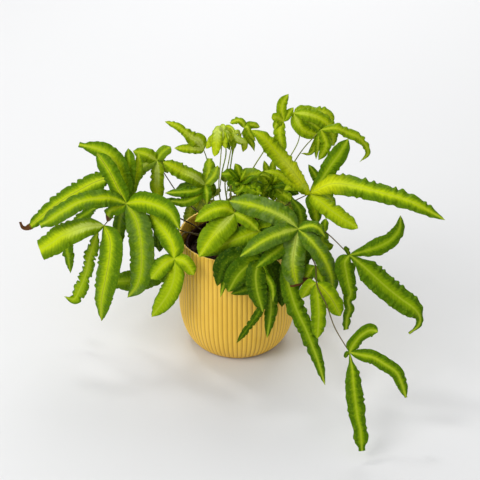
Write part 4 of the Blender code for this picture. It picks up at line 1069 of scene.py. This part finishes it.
def loose_grain(radius, faces, rng):
    """One grain on the soil, a few of them pale."""
    out = radius * math.sqrt(rng.uniform(*GRAIN_SPREAD))
    a = rng.uniform(0, TURN)
    size = rng.uniform(*GRAIN_SIZES)
    centre = np.array([out * math.cos(a), out * math.sin(a), SOIL_TOP - GRAIN_SUNK + 0.5 * size])
    pale = 1.0 if rng.uniform() < PALE_GRAINS else rng.uniform(0.0, MOST_GRAIN_PALE)
    return dict(points=grain_points(centre, size, rng), faces=faces, number=0, marks=dict(pale=pale))


def make_soil(finish):
    """A crumbly surface with loose grains on it, over the root ball."""
    rng = np.random.default_rng(SOIL_SEED)
    radius = nursery_radius(SOIL_TOP) - NURSERY_WALL - 2 * GAP
    faces = grain_faces()
    parts = [soil_body(radius)] + [loose_grain(radius, faces, rng) for _ in range(GRAIN_COUNT)]
    return mesh_object("crumbly_soil", join_parts(parts), [finish], SOIL_SHARP_DEGREES)


def crown_mound():
    """The mound itself, a low uneven dome."""
    low = SOIL_TOP - CROWN_SUNK
    edge = CROWN_RADIUS - GAP
    profile = [(0.0, low), (CROWN_FOOT_SHARE * CROWN_RADIUS, low), (edge, SOIL_TOP - CROWN_EDGE)]
    for q in np.linspace(CROWN_FIRST_RING, 1.0, CROWN_RINGS):
        angle = q * math.pi / 2
        profile.append((edge * math.cos(angle), SOIL_TOP - CROWN_EDGE + CROWN_DOME * math.sin(angle)))
    profile[-1] = (0.0, profile[-1][1])
    mound = turned(profile, CROWN_COLUMNS)
    for point in mound["points"]:
        if point[2] > SOIL_TOP:
            rough = noise.fractal(Vector(point) * CROWN_LUMPS_PER_M, *CROWN_ROUGHNESS)
            point[2] += CROWN_LUMP * rough
    return dict(mound, number=0, marks=dict(pale=0.0))


def crown_scale(rng):
    """One dry scale, flat and pointed, which leans outwards and bends over."""
    radius = CROWN_RADIUS * math.sqrt(rng.uniform(0.0, SCALE_SPREAD))
    a = rng.uniform(0, TURN)
    height = SOIL_TOP - SCALE_SUNK + CROWN_DOME * math.sqrt(max(0.0, 1 - (radius / CROWN_RADIUS) ** 2))
    lean = Vector((
        math.cos(a) * radius / CROWN_RADIUS, math.sin(a) * radius / CROWN_RADIUS, SCALE_UPRIGHT,
    ))
    lean += Vector(rng.normal(scale=SCALE_LEAN, size=3))
    lean.normalize()
    side = lean.cross(Vector((math.cos(a), math.sin(a), SCALE_SIDE_RISE))).normalized()
    back = side.cross(lean) * SCALE_HALF_THICKNESS
    length = rng.uniform(*SCALE_LENGTHS)
    wide = side * rng.uniform(*SCALE_HALF_WIDTHS)
    foot = Vector((radius * math.cos(a), radius * math.sin(a), height))
    places = []
    for q, share in SCALE_ROWS:
        middle = foot + lean * (length * q) + side.cross(lean) * (SCALE_BEND * q * q)
        places += [middle - wide * share + back, middle + wide * share + back,
                   middle + wide * share - back, middle - wide * share - back]
    places.append(foot + lean * length)
    last = 4 * (len(SCALE_ROWS) - 1)
    faces = [(3, 2, 1, 0)] + grid_faces(len(SCALE_ROWS), 4, closed=True)
    faces += [(last + i, last + (i + 1) % 4, last + 4) for i in range(4)]
    marks = dict(pale=rng.uniform(*SCALE_PALE))
    return dict(points=np.array(places), faces=faces, number=0, marks=marks)


def make_crown(finish):
    """The scaly mound that the stalks rise from."""
    rng = np.random.default_rng(CROWN_SEED)
    parts = [crown_mound()] + [crown_scale(rng) for _ in range(SCALE_COUNT)]
    return mesh_object("scaly_crown", join_parts(parts), [finish], CROWN_SHARP_DEGREES)


# Fronds

def smooth_path(points, spacing):
    """Even points along a smooth curve through the given ones, and each given one's share of it."""
    ends = [points[0] * 2 - points[1], *points, points[-1] * 2 - points[-2]]
    fine = []
    for before, start, end, after in zip(ends, ends[1:], ends[2:], ends[3:]):
        for i in range(PATH_STEPS):
            t = i / PATH_STEPS
            bend = 2 * start + (end - before) * t
            bend = bend + (2 * before - 5 * start + 4 * end - after) * t**2
            bend = bend + (3 * start - before - 3 * end + after) * t**3
            fine.append(0.5 * bend)
    fine.append(points[-1])
    steps = np.array([(b - a).length for a, b in zip(fine, fine[1:])])
    along = np.concatenate([[0.0], np.cumsum(steps)])
    count = max(LEAST_STATIONS, round(along[-1] / spacing))
    stations = np.linspace(0, along[-1], count + 1)
    columns = [np.interp(stations, along, [p[axis] for p in fine]) for axis in range(3)]
    return [Vector(place) for place in zip(*columns)], along[::PATH_STEPS] / along[-1]


def carried_frames(path, facing, pull=1.0):
    """A normal and a sideways direction at each point. The normal turns to facing, unless pull is 0."""
    facing = Vector(facing).normalized()
    normals = []
    for i in range(len(path)):
        tangent = (path[min(i + 1, len(path) - 1)] - path[max(i - 1, 0)]).normalized()
        wanted = facing - tangent * facing.dot(tangent)
        carried = normals[-1][0] if normals else wanted.normalized()
        carried = (carried - tangent * carried.dot(tangent)).normalized()
        normal = (carried * (1 - pull * wanted.length**2) + wanted * pull).normalized()
        normals.append((normal, tangent.cross(normal)))
    return np.array([n for n, _ in normals]), np.array([s for _, s in normals])


def stalk_part(plan, looks):
    """The round stalk: straight up out of the crown, then one arch to the last leaflets."""
    root = Vector((plan["root_mm"][0] * MM, plan["root_mm"][1] * MM, CROWN_TOP))
    points = [root + Vector((0, 0, STALK_UPRIGHT))] + [seen_at(*place) for place in plan["stalk_px"]]
    path = [root - Vector((0, 0, STALK_ROOT_DEPTH)), root] + smooth_path(points, STALK_ROW)[0]
    normals, sides = carried_frames(path, STALK_FACING, pull=0.0)
    share = np.linspace(0, 1, len(path))
    radius = STALK_ROOT_RADIUS + (STALK_TIP_RADIUS - STALK_ROOT_RADIUS) * share
    angles = np.arange(STALK_SIDES) * TURN / STALK_SIDES
    ring = normals[:, None, :] * np.cos(angles)[None, :, None]
    ring = ring + sides[:, None, :] * np.sin(angles)[None, :, None]
    points = np.array(path)[:, None, :] + ring * radius[:, None, None]
    last = (len(path) - 1) * STALK_SIDES
    faces = grid_faces(len(path), STALK_SIDES, closed=True)
    faces.append(tuple(range(STALK_SIDES))[::-1])
    faces.append(tuple(last + i for i in range(STALK_SIDES)))
    marks = dict.fromkeys(BLADE_MARKS, 0.0)
    marks.update(
        along_mm=np.repeat(share * STALK_MARK_MM, STALK_SIDES), run=np.repeat(share, STALK_SIDES),
        youth=looks["stalk"], seed=0.0,
    )
    return dict(points=points.reshape(-1, 3), faces=faces, number=1, marks=marks), path[-1]


def half_width(t, leaf, place_shares):
    """Half the leaflet's width at t along it: narrow at the base, widest near a third, then a taper."""
    rise = (1 - (1 - np.minimum(t / BLADE_WIDE_FROM, 1.0)) ** 2) ** BLADE_RISE_POWER
    past = np.maximum(0.0, t - BLADE_TAPER_FROM) / (1 - BLADE_TAPER_FROM)
    fall = 1 - past ** (BLUNT_POWER if leaf["blunt"] else POINTED_POWER)
    fall = np.maximum(fall, leaf["cut"])
    widths = [place[3] if len(place) > 3 else 1.0 for place in leaf["path_px"]]
    fall = fall * np.interp(t, place_shares, [widths[0], *widths])
    least = BASE_HALF_WIDTH + (TIP_HALF_WIDTH - BASE_HALF_WIDTH) * t
    return np.maximum(leaf["width"] / 2 * rise * fall, least)


def blade_waves(along, period, left, rng):
    """Each half edge's waves, from -1 to 1, the same a little later, and how their size varies."""
    phases = []
    for _ in range(2):
        *starts, first = rng.uniform(0, TURN, len(WAVE_WARPS) + 1)
        warp = sum(size * np.sin(TURN * along / (length * period) + start)
                   for (size, length), start in zip(WAVE_WARPS, starts))
        phases.append(TURN * along / period + warp + first)
    swing = np.sin(TURN * along / (WAVE_SIZE_LENGTH * period) + rng.uniform(0, TURN))
    uneven = WAVE_SIZE + WAVE_SIZE_SWING * swing

    def waves(lag):
        return np.where(left[None, :], *[np.sin(phase + lag)[:, None] for phase in phases])

    return waves(0.0), waves(WAVE_LAG), uneven


def edge_bites(along, left, rng):
    """How far each half of the edge is bitten in, from 0 to 1."""
    bites = np.zeros((len(along), len(left)))
    for half in (left, ~left):
        first, second = [np.sin(TURN * along / pitch + start)
                         for pitch, start in zip(BITE_PITCHES, rng.uniform(0, TURN, 2))]
        bites += smoothstep(*BITE_DEPTHS, first * second)[:, None] * half[None, :]
    return bites


def blade_faces(rows, columns):
    """The faces of a closed blade: its top, then its underside, then a strip all round."""
    low = rows * columns
    end = (rows - 1) * columns
    faces = grid_faces(rows, columns, flip=True) + grid_faces(rows, columns, start=low)
    for i in range(rows - 1):
        a, b = i * columns, (i + 1) * columns
        faces.append((a, b, low + b, low + a))
        a, b = a + columns - 1, b + columns - 1
        faces.append((a, low + a, low + b, b))
    for j in range(columns - 1):
        faces.append((j + 1, j, low + j, low + j + 1))
        faces.append((end + j, end + j + 1, low + end + j + 1, low + end + j))
    return faces


def blade_marks(across, along, t, out, looks, rng):
    """What the leaf material reads at each point, first for the top and then for the underside."""
    def both(values):
        flat = np.broadcast_to(values, across.shape).reshape(-1)
        return np.concatenate([flat, flat])

    dry = 0.0
    if looks["dry"]:
        dry = smoothstep(1 - looks["dry"], 1 - DRY_FADE * looks["dry"], t)[:, None]
    marks = {key: looks[key] for key in ("youth", "band", "pale", "glow", "gloss", "rib")}
    marks.update(
        across_mm=both(across / MM), along_mm=both(along[:, None] / MM), rim=both(out),
        run=both(t[:, None]), under=np.repeat([0.0, 1.0], across.size), dry=both(dry),
        seed=rng.uniform(0, MOST_SEED),
    )
    return marks


def blade_spine(leaf, hub, facing, rng):
    """The leaflet's middle line from its fork to its tip, the distance along it, its up and sideways
    directions, which roll a little as they go, and each place's share of it."""
    base = seen_at(*leaf["base_px"]) if leaf["base_px"] else hub
    places = [base] + [seen_at(*place[:3]) for place in leaf["path_px"]]
    path, place_shares = smooth_path(places, LEAF_ROW)
    spine = np.array(path)
    along = np.concatenate([[0.0], np.cumsum(np.linalg.norm(np.diff(spine, axis=0), axis=1))])
    normals, sides = carried_frames(path, facing)
    roll = rng.uniform(-MOST_ROLL, MOST_ROLL)
    roll = roll + rng.uniform(-TWIST, TWIST) * MOST_ROLL * (along / along[-1] - ROLL_CENTRE)
    up = normals * np.cos(roll)[:, None] + sides * np.sin(roll)[:, None]
    sideways = sides * np.cos(roll)[:, None] - normals * np.sin(roll)[:, None]
    return spine, along, up, sideways, place_shares


def blade_part(leaf, hub, facing, looks, rng):
    """A leaflet from its fork to its tip: two arched halves, waved and scalloped at the edge."""
    spine, along, up, sideways, place_shares = blade_spine(leaf, hub, facing, rng)
    t = along / along[-1]
    column = np.array(LEAF_COLUMNS)
    out = np.abs(column)[None, :]
    left = column < 0
    half = half_width(t, leaf, place_shares)
    period = looks["period"] * MM * rng.uniform(*WAVE_PERIODS)
    ripple, late, uneven = blade_waves(along, period, left, rng)
    bites = looks["ragged"] * edge_bites(along, left, rng) if looks["ragged"] else 0.0
    fade = uneven * smoothstep(*WAVES_FROM, t) * (1 - WAVE_LOSS * smoothstep(*WAVES_TO, t))
    fade = fade[:, None]
    teeth = np.abs(2 * ((along / TOOTH_PITCH) % 1.0) - 1)[:, None] * 2 - 1
    scallops = SCALLOP * (leaf["wave"] / (PLAIN_WAVE_MM * MM)) ** SCALLOP_POWER * late
    across = column[None, :] * (half[:, None] * (1 + fade * (scallops + TOOTH * teeth)) * (1 - bites))

    swing = np.minimum(WAVE_GAIN * leaf["wave"], MOST_WAVE * half)[:, None]
    wave = swing * fade * out**WAVE_POWER * ripple
    pleat = PLEAT * np.sin(TURN * (along[:, None] - VEIN_SLANT * np.abs(across)) / PLEAT_PITCH)
    pleated = np.minimum(1.0, half / PLEATED_HALF_WIDTH)[:, None]
    pleat = pleat * smoothstep(*PLEATS_FROM, out) * fade * pleated
    height = half[:, None] * (FOLD * out - DROOP * out**DROOP_POWER) + wave + pleat
    stem = (1 - smoothstep(*PETIOLE_SHARES, t))[:, None]
    thick = LEAF_THICKNESS + (LEAF_EDGE_THICKNESS - LEAF_THICKNESS) * out**3
    thick = thick * (1 - stem) + PETIOLE_THICKNESS * (1 - 0.5 * out) * stem
    rib = RIB_UNDER * (1 - t)[:, None] * np.exp(-((across / RIB_HALF_WIDTH) ** 2))
    middle = spine[:, None, :] + sideways[:, None, :] * across[:, :, None]
    top = middle + up[:, None, :] * (height + thick / 2)[:, :, None]
    bottom = middle + up[:, None, :] * (height - thick / 2 - rib)[:, :, None]
    points = np.concatenate([top.reshape(-1, 3), bottom.reshape(-1, 3)])
    marks = blade_marks(across, along, t, out, looks, rng)
    return dict(points=points, faces=blade_faces(*across.shape), number=0, marks=marks)


def make_frond(name, plan, number, materials):
    """One frond: its stalk, its leaflets and the small leaflets that it carries."""
    rng = np.random.default_rng(FROND_SEED + number)
    looks = {**PLAIN_LOOKS, **plan["looks"]}
    stalk, hub = stalk_part(plan, looks)
    parts = [stalk]
    for leaf in plan["pinnae"] + SMALL_PINNAE.get(name, []):
        parts.append(blade_part(leaf, hub, plan["facing"], {**looks, **leaf["looks"]}, rng))
    return mesh_object(name + "_leaves", join_parts(parts), materials, FROND_SHARP_DEGREES)


# Materials

def new_material(name):
    made = bpy.data.materials.new(name)
    made.use_nodes = True
    return made.node_tree, made.node_tree.nodes["Principled BSDF"], made


def plug(tree, value, socket):
    """Gives the socket the value, by a link if it is another node's output."""
    if isinstance(value, bpy.types.NodeSocket):
        tree.links.new(value, socket)
    else:
        socket.default_value = value


def set_shader(tree, shader, **values):
    """Gives the shader's inputs their values, named with _ for each space."""
    for key, value in values.items():
        plug(tree, value, shader.inputs[key.replace("_", " ")])


def add_node(tree, kind, inputs=None, **settings):
    made = tree.nodes.new(kind)
    for key, value in settings.items():
        setattr(made, key, value)
    for key, value in (inputs or {}).items():
        plug(tree, value, made.inputs[key])
    return made


def maths(tree, operation, *values):
    return add_node(tree, "ShaderNodeMath", dict(enumerate(values)), operation=operation).outputs[0]


def xyz(tree, *values):
    return add_node(tree, "ShaderNodeCombineXYZ", dict(enumerate(values))).outputs[0]


def mark(tree, name):
    return add_node(tree, "ShaderNodeAttribute", attribute_name=name).outputs["Fac"]


def object_place(tree):
    return add_node(tree, "ShaderNodeTexCoord").outputs["Object"]


def soft_range(tree, value, low, high, to_low=0.0, to_high=1.0):
    inputs = {"Value": value, "From Min": low, "From Max": high, "To Min": to_low, "To Max": to_high}
    return add_node(tree, "ShaderNodeMapRange", inputs, interpolation_type="SMOOTHSTEP").outputs[0]


def mixed(tree, share, a, b):
    """The colour a, turning into b as share goes from 0 to 1."""
    def colour(value):
        return value if isinstance(value, bpy.types.NodeSocket) else (*value, 1.0)
    inputs = {0: share, 6: colour(a), 7: colour(b)}
    return add_node(tree, "ShaderNodeMix", inputs, data_type="RGBA").outputs[2]


def noise_value(tree, vector, scale, detail=2.0, roughness=0.5):
    inputs = {"Vector": vector, "Scale": scale, "Detail": detail, "Roughness": roughness}
    return add_node(tree, "ShaderNodeTexNoise", inputs).outputs["Fac"]


def bumps(tree, height, strength, distance):
    inputs = {"Height": height, "Strength": strength, "Distance": distance}
    return add_node(tree, "ShaderNodeBump", inputs).outputs[0]


def aged_and_shaded_green(tree, deep, plain, young):
    """The leaf's colour at its own age, with painted shade: the mark goes from -1, deep green painted for
    shade, to 1, young.
    """
    youth = mark(tree, "youth")
    return mixed(tree, youth, mixed(tree, maths(tree, "ADD", youth, 1.0), deep, plain), young)


def leaf_bands(tree, reach):
    """Across the half width: the bright band, a mid green, then the dark edge."""
    edge = aged_and_shaded_green(tree, *EDGE_GREENS)
    middle = aged_and_shaded_green(tree, *MIDDLE_GREENS)
    fading = soft_range(tree, mark(tree, "run"), 0.15, 0.95, 1.15, 0.60)
    pale = maths(tree, "MULTIPLY", mark(tree, "pale"), fading)
    bright = mixed(tree, soft_range(tree, pale, 0.0, 0.6), BAND_GREENS[0], BAND_GREENS[1])
    bright = mixed(tree, soft_range(tree, pale, 0.6, 1.0), bright, BAND_GREENS[2])
    # Leaves with painted shade lose their bright band as well
    bright = mixed(tree, maths(tree, "ADD", mark(tree, "youth"), 1.0), middle, bright)
    colour = mixed(tree, soft_range(tree, reach, 0.0, 0.34), middle, edge)
    return mixed(tree, soft_range(tree, reach, -0.22, 0.06), bright, colour)


def with_glow(tree, colour, spread):
    """Yellow near the base, as far along and out as the glow mark says."""
    glow = mark(tree, "glow")
    near_base = soft_range(tree, maths(tree, "DIVIDE", mark(tree, "run"), glow), 0.16, 0.46, 1.0, 0.0)
    share = maths(tree, "MULTIPLY", maths(tree, "MINIMUM", glow, 0.85), near_base)
    share = maths(tree, "MULTIPLY", share, soft_range(tree, spread, 0.55, 1.15, 1.0, 0.0))
    return mixed(tree, share, colour, GLOW_YELLOW)


def with_painted_sheen(tree, colour, cloud, reach):
    """A clouded grey highlight painted into the colour, strongest outside the bright band."""
    share = maths(tree, "MULTIPLY", mark(tree, "gloss"), soft_range(tree, cloud, 0.36, 0.66, 0.10, 1.0))
    share = maths(tree, "MULTIPLY", share, soft_range(tree, reach, -0.10, 0.12, 0.10, 0.60))
    return mixed(tree, share, colour, PAINTED_SHEEN_GREY)


def with_ribs(tree, colour, across):
    """A pale line down the middle of the bright band, and a thin brown midrib in it."""
    line = maths(tree, "MULTIPLY", soft_range(tree, across, 0.4, 1.4, 0.45, 0.0),
                 soft_range(tree, mark(tree, "band"), 0.05, 0.25))
    colour = mixed(tree, line, colour, LINE_GREEN)
    midrib = maths(tree, "MULTIPLY", soft_range(tree, across, 0.15, 0.50, 0.85, 0.0), mark(tree, "rib"))
    return mixed(tree, midrib, colour, MIDRIB_BROWN)


def with_dry_tip(tree, colour, feather):
    """Brown where the dry mark says, with a ragged start."""
    dry = maths(tree, "MULTIPLY_ADD", feather, 0.8, maths(tree, "ADD", mark(tree, "dry"), -0.4))
    share = maths(tree, "MULTIPLY", soft_range(tree, dry, 0.25, 0.60),
                  soft_range(tree, mark(tree, "dry"), 0.0, 0.05))
    return mixed(tree, share, colour, DRY_BROWN)


def leaf_material():
    """A dark green edge and a bright band along the rib, feathered into each other along the veins."""
    tree, shader, made = new_material("fern_leaf")
    across = maths(tree, "ABSOLUTE", mark(tree, "across_mm"))
    along = mark(tree, "along_mm")
    seed = mark(tree, "seed")
    rim = mark(tree, "rim")
    vein = maths(tree, "MULTIPLY_ADD", across, -VEIN_SLANT, along)
    feather_at = xyz(tree, maths(tree, "MULTIPLY", vein, 0.75),
                     maths(tree, "MULTIPLY", across, 0.12), seed)
    feather = noise_value(tree, feather_at, 1.0, 3.0, 0.6)
    blade_at = xyz(tree, along, mark(tree, "across_mm"), seed)
    cloud = noise_value(tree, blade_at, 0.11, 2.0)
    spread = maths(tree, "MULTIPLY_ADD", feather, 0.50, maths(tree, "ADD", rim, -0.25))
    spread = maths(tree, "MULTIPLY_ADD", cloud, 0.30, maths(tree, "ADD", spread, -0.15))
    reach = maths(tree, "MULTIPLY_ADD", mark(tree, "band"), -1.1, spread)
    colour = with_glow(tree, leaf_bands(tree, reach), spread)
    # Painted highlight: a grey sheen over parts of some leaves
    colour = with_painted_sheen(tree, colour, cloud, reach)
    phase = maths(tree, "MULTIPLY_ADD", feather, 13.0, maths(tree, "MULTIPLY", vein, TURN / 4.6))
    veins = maths(tree, "SINE", phase)
    stripe = maths(tree, "MULTIPLY", maths(tree, "MULTIPLY_ADD", veins, 0.5, 0.5),
                   soft_range(tree, rim, 0.08, 0.40, 0.03, 0.24))
    colour = mixed(tree, stripe, colour, VEIN_GREEN)
    mottle = noise_value(tree, blade_at, 0.42, 3.0, 0.65)
    colour = mixed(tree, soft_range(tree, mottle, 0.50, 0.72, 0.0, 0.30), colour, MOTTLE_GREEN)
    # Painted shade: a thin darker line along the very edge of each leaflet
    shade = maths(tree, "MULTIPLY", soft_range(tree, rim, 0.92, 1.0), 0.16)
    colour = with_ribs(tree, mixed(tree, shade, colour, RIM_SHADE_GREEN), across)
    under = mark(tree, "under")
    colour = mixed(tree, maths(tree, "MULTIPLY", under, 0.45), colour, UNDERSIDE_GREEN)
    colour = with_dry_tip(tree, colour, feather)
    rough = maths(tree, "MULTIPLY_ADD", under, 0.2, maths(tree, "MULTIPLY_ADD", cloud, 0.20, 0.30))
    height = maths(tree, "MULTIPLY_ADD", veins, 0.5, maths(tree, "MULTIPLY", feather, 1.2))
    set_shader(tree, shader, Base_Color=colour, Roughness=rough, Specular_IOR_Level=0.045,
               Normal=bumps(tree, height, 0.55, 0.0004))
    return made


def stalk_material():
    """Wiry and brown low down, greener towards the leaflets, with fine streaks."""
    tree, shader, made = new_material("fern_stalk")
    streak = noise_value(tree, object_place(tree), 420.0, 2.0)
    colour = mixed(tree, mark(tree, "run"), *MATURE_STALK)
    colour = mixed(tree, mark(tree, "youth"), colour, mixed(tree, mark(tree, "run"), *YOUNG_STALK))
    colour = mixed(tree, soft_range(tree, streak, 0.35, 0.70, 0.0, 0.5), colour, STALK_STREAK)
    set_shader(tree, shader, Base_Color=colour, Roughness=0.5, Specular_IOR_Level=0.12,
               Normal=bumps(tree, streak, 0.3, 0.0002))
    return made


def pot_material():
    """Satin moulded plastic with a faint mottle, and painted shade: deeper in colour in the grooves and at
    the foot.
    """
    tree, shader, made = new_material("mustard_plastic_satin")
    place = object_place(tree)
    mottle = noise_value(tree, place, 38.0, 3.0)
    grain = noise_value(tree, place, 1400.0, 2.0)
    colour = mixed(tree, soft_range(tree, mottle, 0.3, 0.7), *MUSTARD)
    # Painted shade: darker in the grooves
    painted_groove_shade = soft_range(tree, mark(tree, "painted_groove_shade"), 0.0, 1.0, 0.0, 0.85)
    colour = mixed(tree, painted_groove_shade, colour, GROOVE_SHADE_MUSTARD)
    height = add_node(tree, "ShaderNodeSeparateXYZ", {0: place}).outputs[2]
    # Painted shade: darker at the foot, near the floor
    foot = soft_range(tree, height, 0.3 * PLAIN_FOOT, 2.8 * PLAIN_FOOT, 0.65, 0.0)
    colour = mixed(tree, foot, colour, FOOT_SHADE_MUSTARD)
    rough = maths(tree, "MULTIPLY_ADD", grain, 0.14, 0.38)
    set_shader(tree, shader, Base_Color=colour, Roughness=rough, Specular_IOR_Level=0.35,
               Normal=bumps(tree, grain, 0.12, 0.0001))
    return made


def nursery_material():
    """Thin dark brown plastic with a dull shine and a few dusty smears."""
    tree, shader, made = new_material("brown_plastic_glossy")
    dust = noise_value(tree, object_place(tree), 120.0, 4.0, 0.65)
    colour = mixed(tree, soft_range(tree, dust, 0.55, 0.75, 0.0, 0.6), POT_BROWN, POT_DUST)
    rough = soft_range(tree, dust, 0.40, 0.70, 0.42, 0.72)
    set_shader(tree, shader, Base_Color=colour, Roughness=rough, Specular_IOR_Level=0.03,
               Normal=bumps(tree, dust, 0.1, 0.0002))
    return made


def soil_material(name, dark, light, grains):
    """Crumbly and matt: a dark base with lighter patches, and paler grains or scales."""
    tree, shader, made = new_material(name)
    place = object_place(tree)
    fine = noise_value(tree, place, 900.0, 4.0, 0.7)
    coarse = noise_value(tree, place, 160.0, 3.0, 0.6)
    colour = mixed(tree, soft_range(tree, coarse, 0.35, 0.70), dark, light)
    colour = mixed(tree, soft_range(tree, mark(tree, "pale"), 0.1, 1.0), colour, grains)
    colour = mixed(tree, soft_range(tree, fine, 0.45, 0.75, 0.0, 0.5), colour, dark)
    set_shader(tree, shader, Base_Color=colour, Roughness=0.92, Specular_IOR_Level=0.2,
               Normal=bumps(tree, maths(tree, "ADD", fine, coarse), 0.7, 0.0006))
    return made


def floor_material():
    tree, shader, made = new_material("studio_floor")
    set_shader(tree, shader, Base_Color=FLOOR_GREY, Roughness=0.7, Specular_IOR_Level=0.1)
    return made


# Stage, light and camera

def make_stage():
    side = FLOOR_HALF_SIDE
    corners = [(-side, -side, 0), (side, -side, 0), (side, side, 0), (-side, side, 0)]
    mesh = bpy.data.meshes.new("studio_floor")
    mesh.from_pydata(corners, [], [(0, 1, 2, 3)])
    mesh.materials.append(floor_material())
    linked("studio_floor", mesh)


def add_area_light(name, place, target, size, power):
    light = bpy.data.lights.new(name, "AREA")
    light.size = size
    light.energy = power
    made = linked(name, light)
    made.location = place
    made.rotation_euler = (Vector(target) - Vector(place)).to_track_quat("-Z", "Y").to_euler()


def light_scene():
    world = bpy.data.worlds.new("studio")
    bpy.context.scene.world = world
    world.use_nodes = True
    sky = world.node_tree.nodes["Background"]
    sky.inputs["Color"].default_value = SKY_COLOUR
    sky.inputs["Strength"].default_value = SKY_STRENGTH
    for light in AREA_LIGHTS:
        add_area_light(*light)
    bpy.context.scene.view_settings.view_transform = "Standard"


def make_camera():
    camera = bpy.data.cameras.new("camera")
    camera.sensor_width = SENSOR_MM
    camera.lens = SENSOR_MM * FOCAL_PX / PICTURE_SIDE_PX
    made = linked("camera", camera)
    turn = Matrix((LOOKING.cross(PICTURE_UP), PICTURE_UP, -LOOKING)).transposed()
    made.matrix_world = Matrix.Translation(EYE) @ turn.to_4x4()
    bpy.context.scene.camera = made


def stand_in(piece, node):
    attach(piece, "root")
    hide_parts(node)


def main():
    make_camera()
    make_stage()
    light_scene()
    stand_in(make_cover_pot(pot_material()), "cover_pot")
    stand_in(make_nursery_pot(nursery_material()), "nursery_pot")
    stand_in(make_soil(soil_material("potting_soil_crumbs", *PEAT)), "soil")
    stand_in(make_crown(soil_material("rootstock_scales", *ROOTSTOCK)), "crown")
    materials = [leaf_material(), stalk_material()]
    for number, (name, plan) in enumerate(FRONDS.items()):
        stand_in(make_frond(name, plan, number, materials), name)


main()
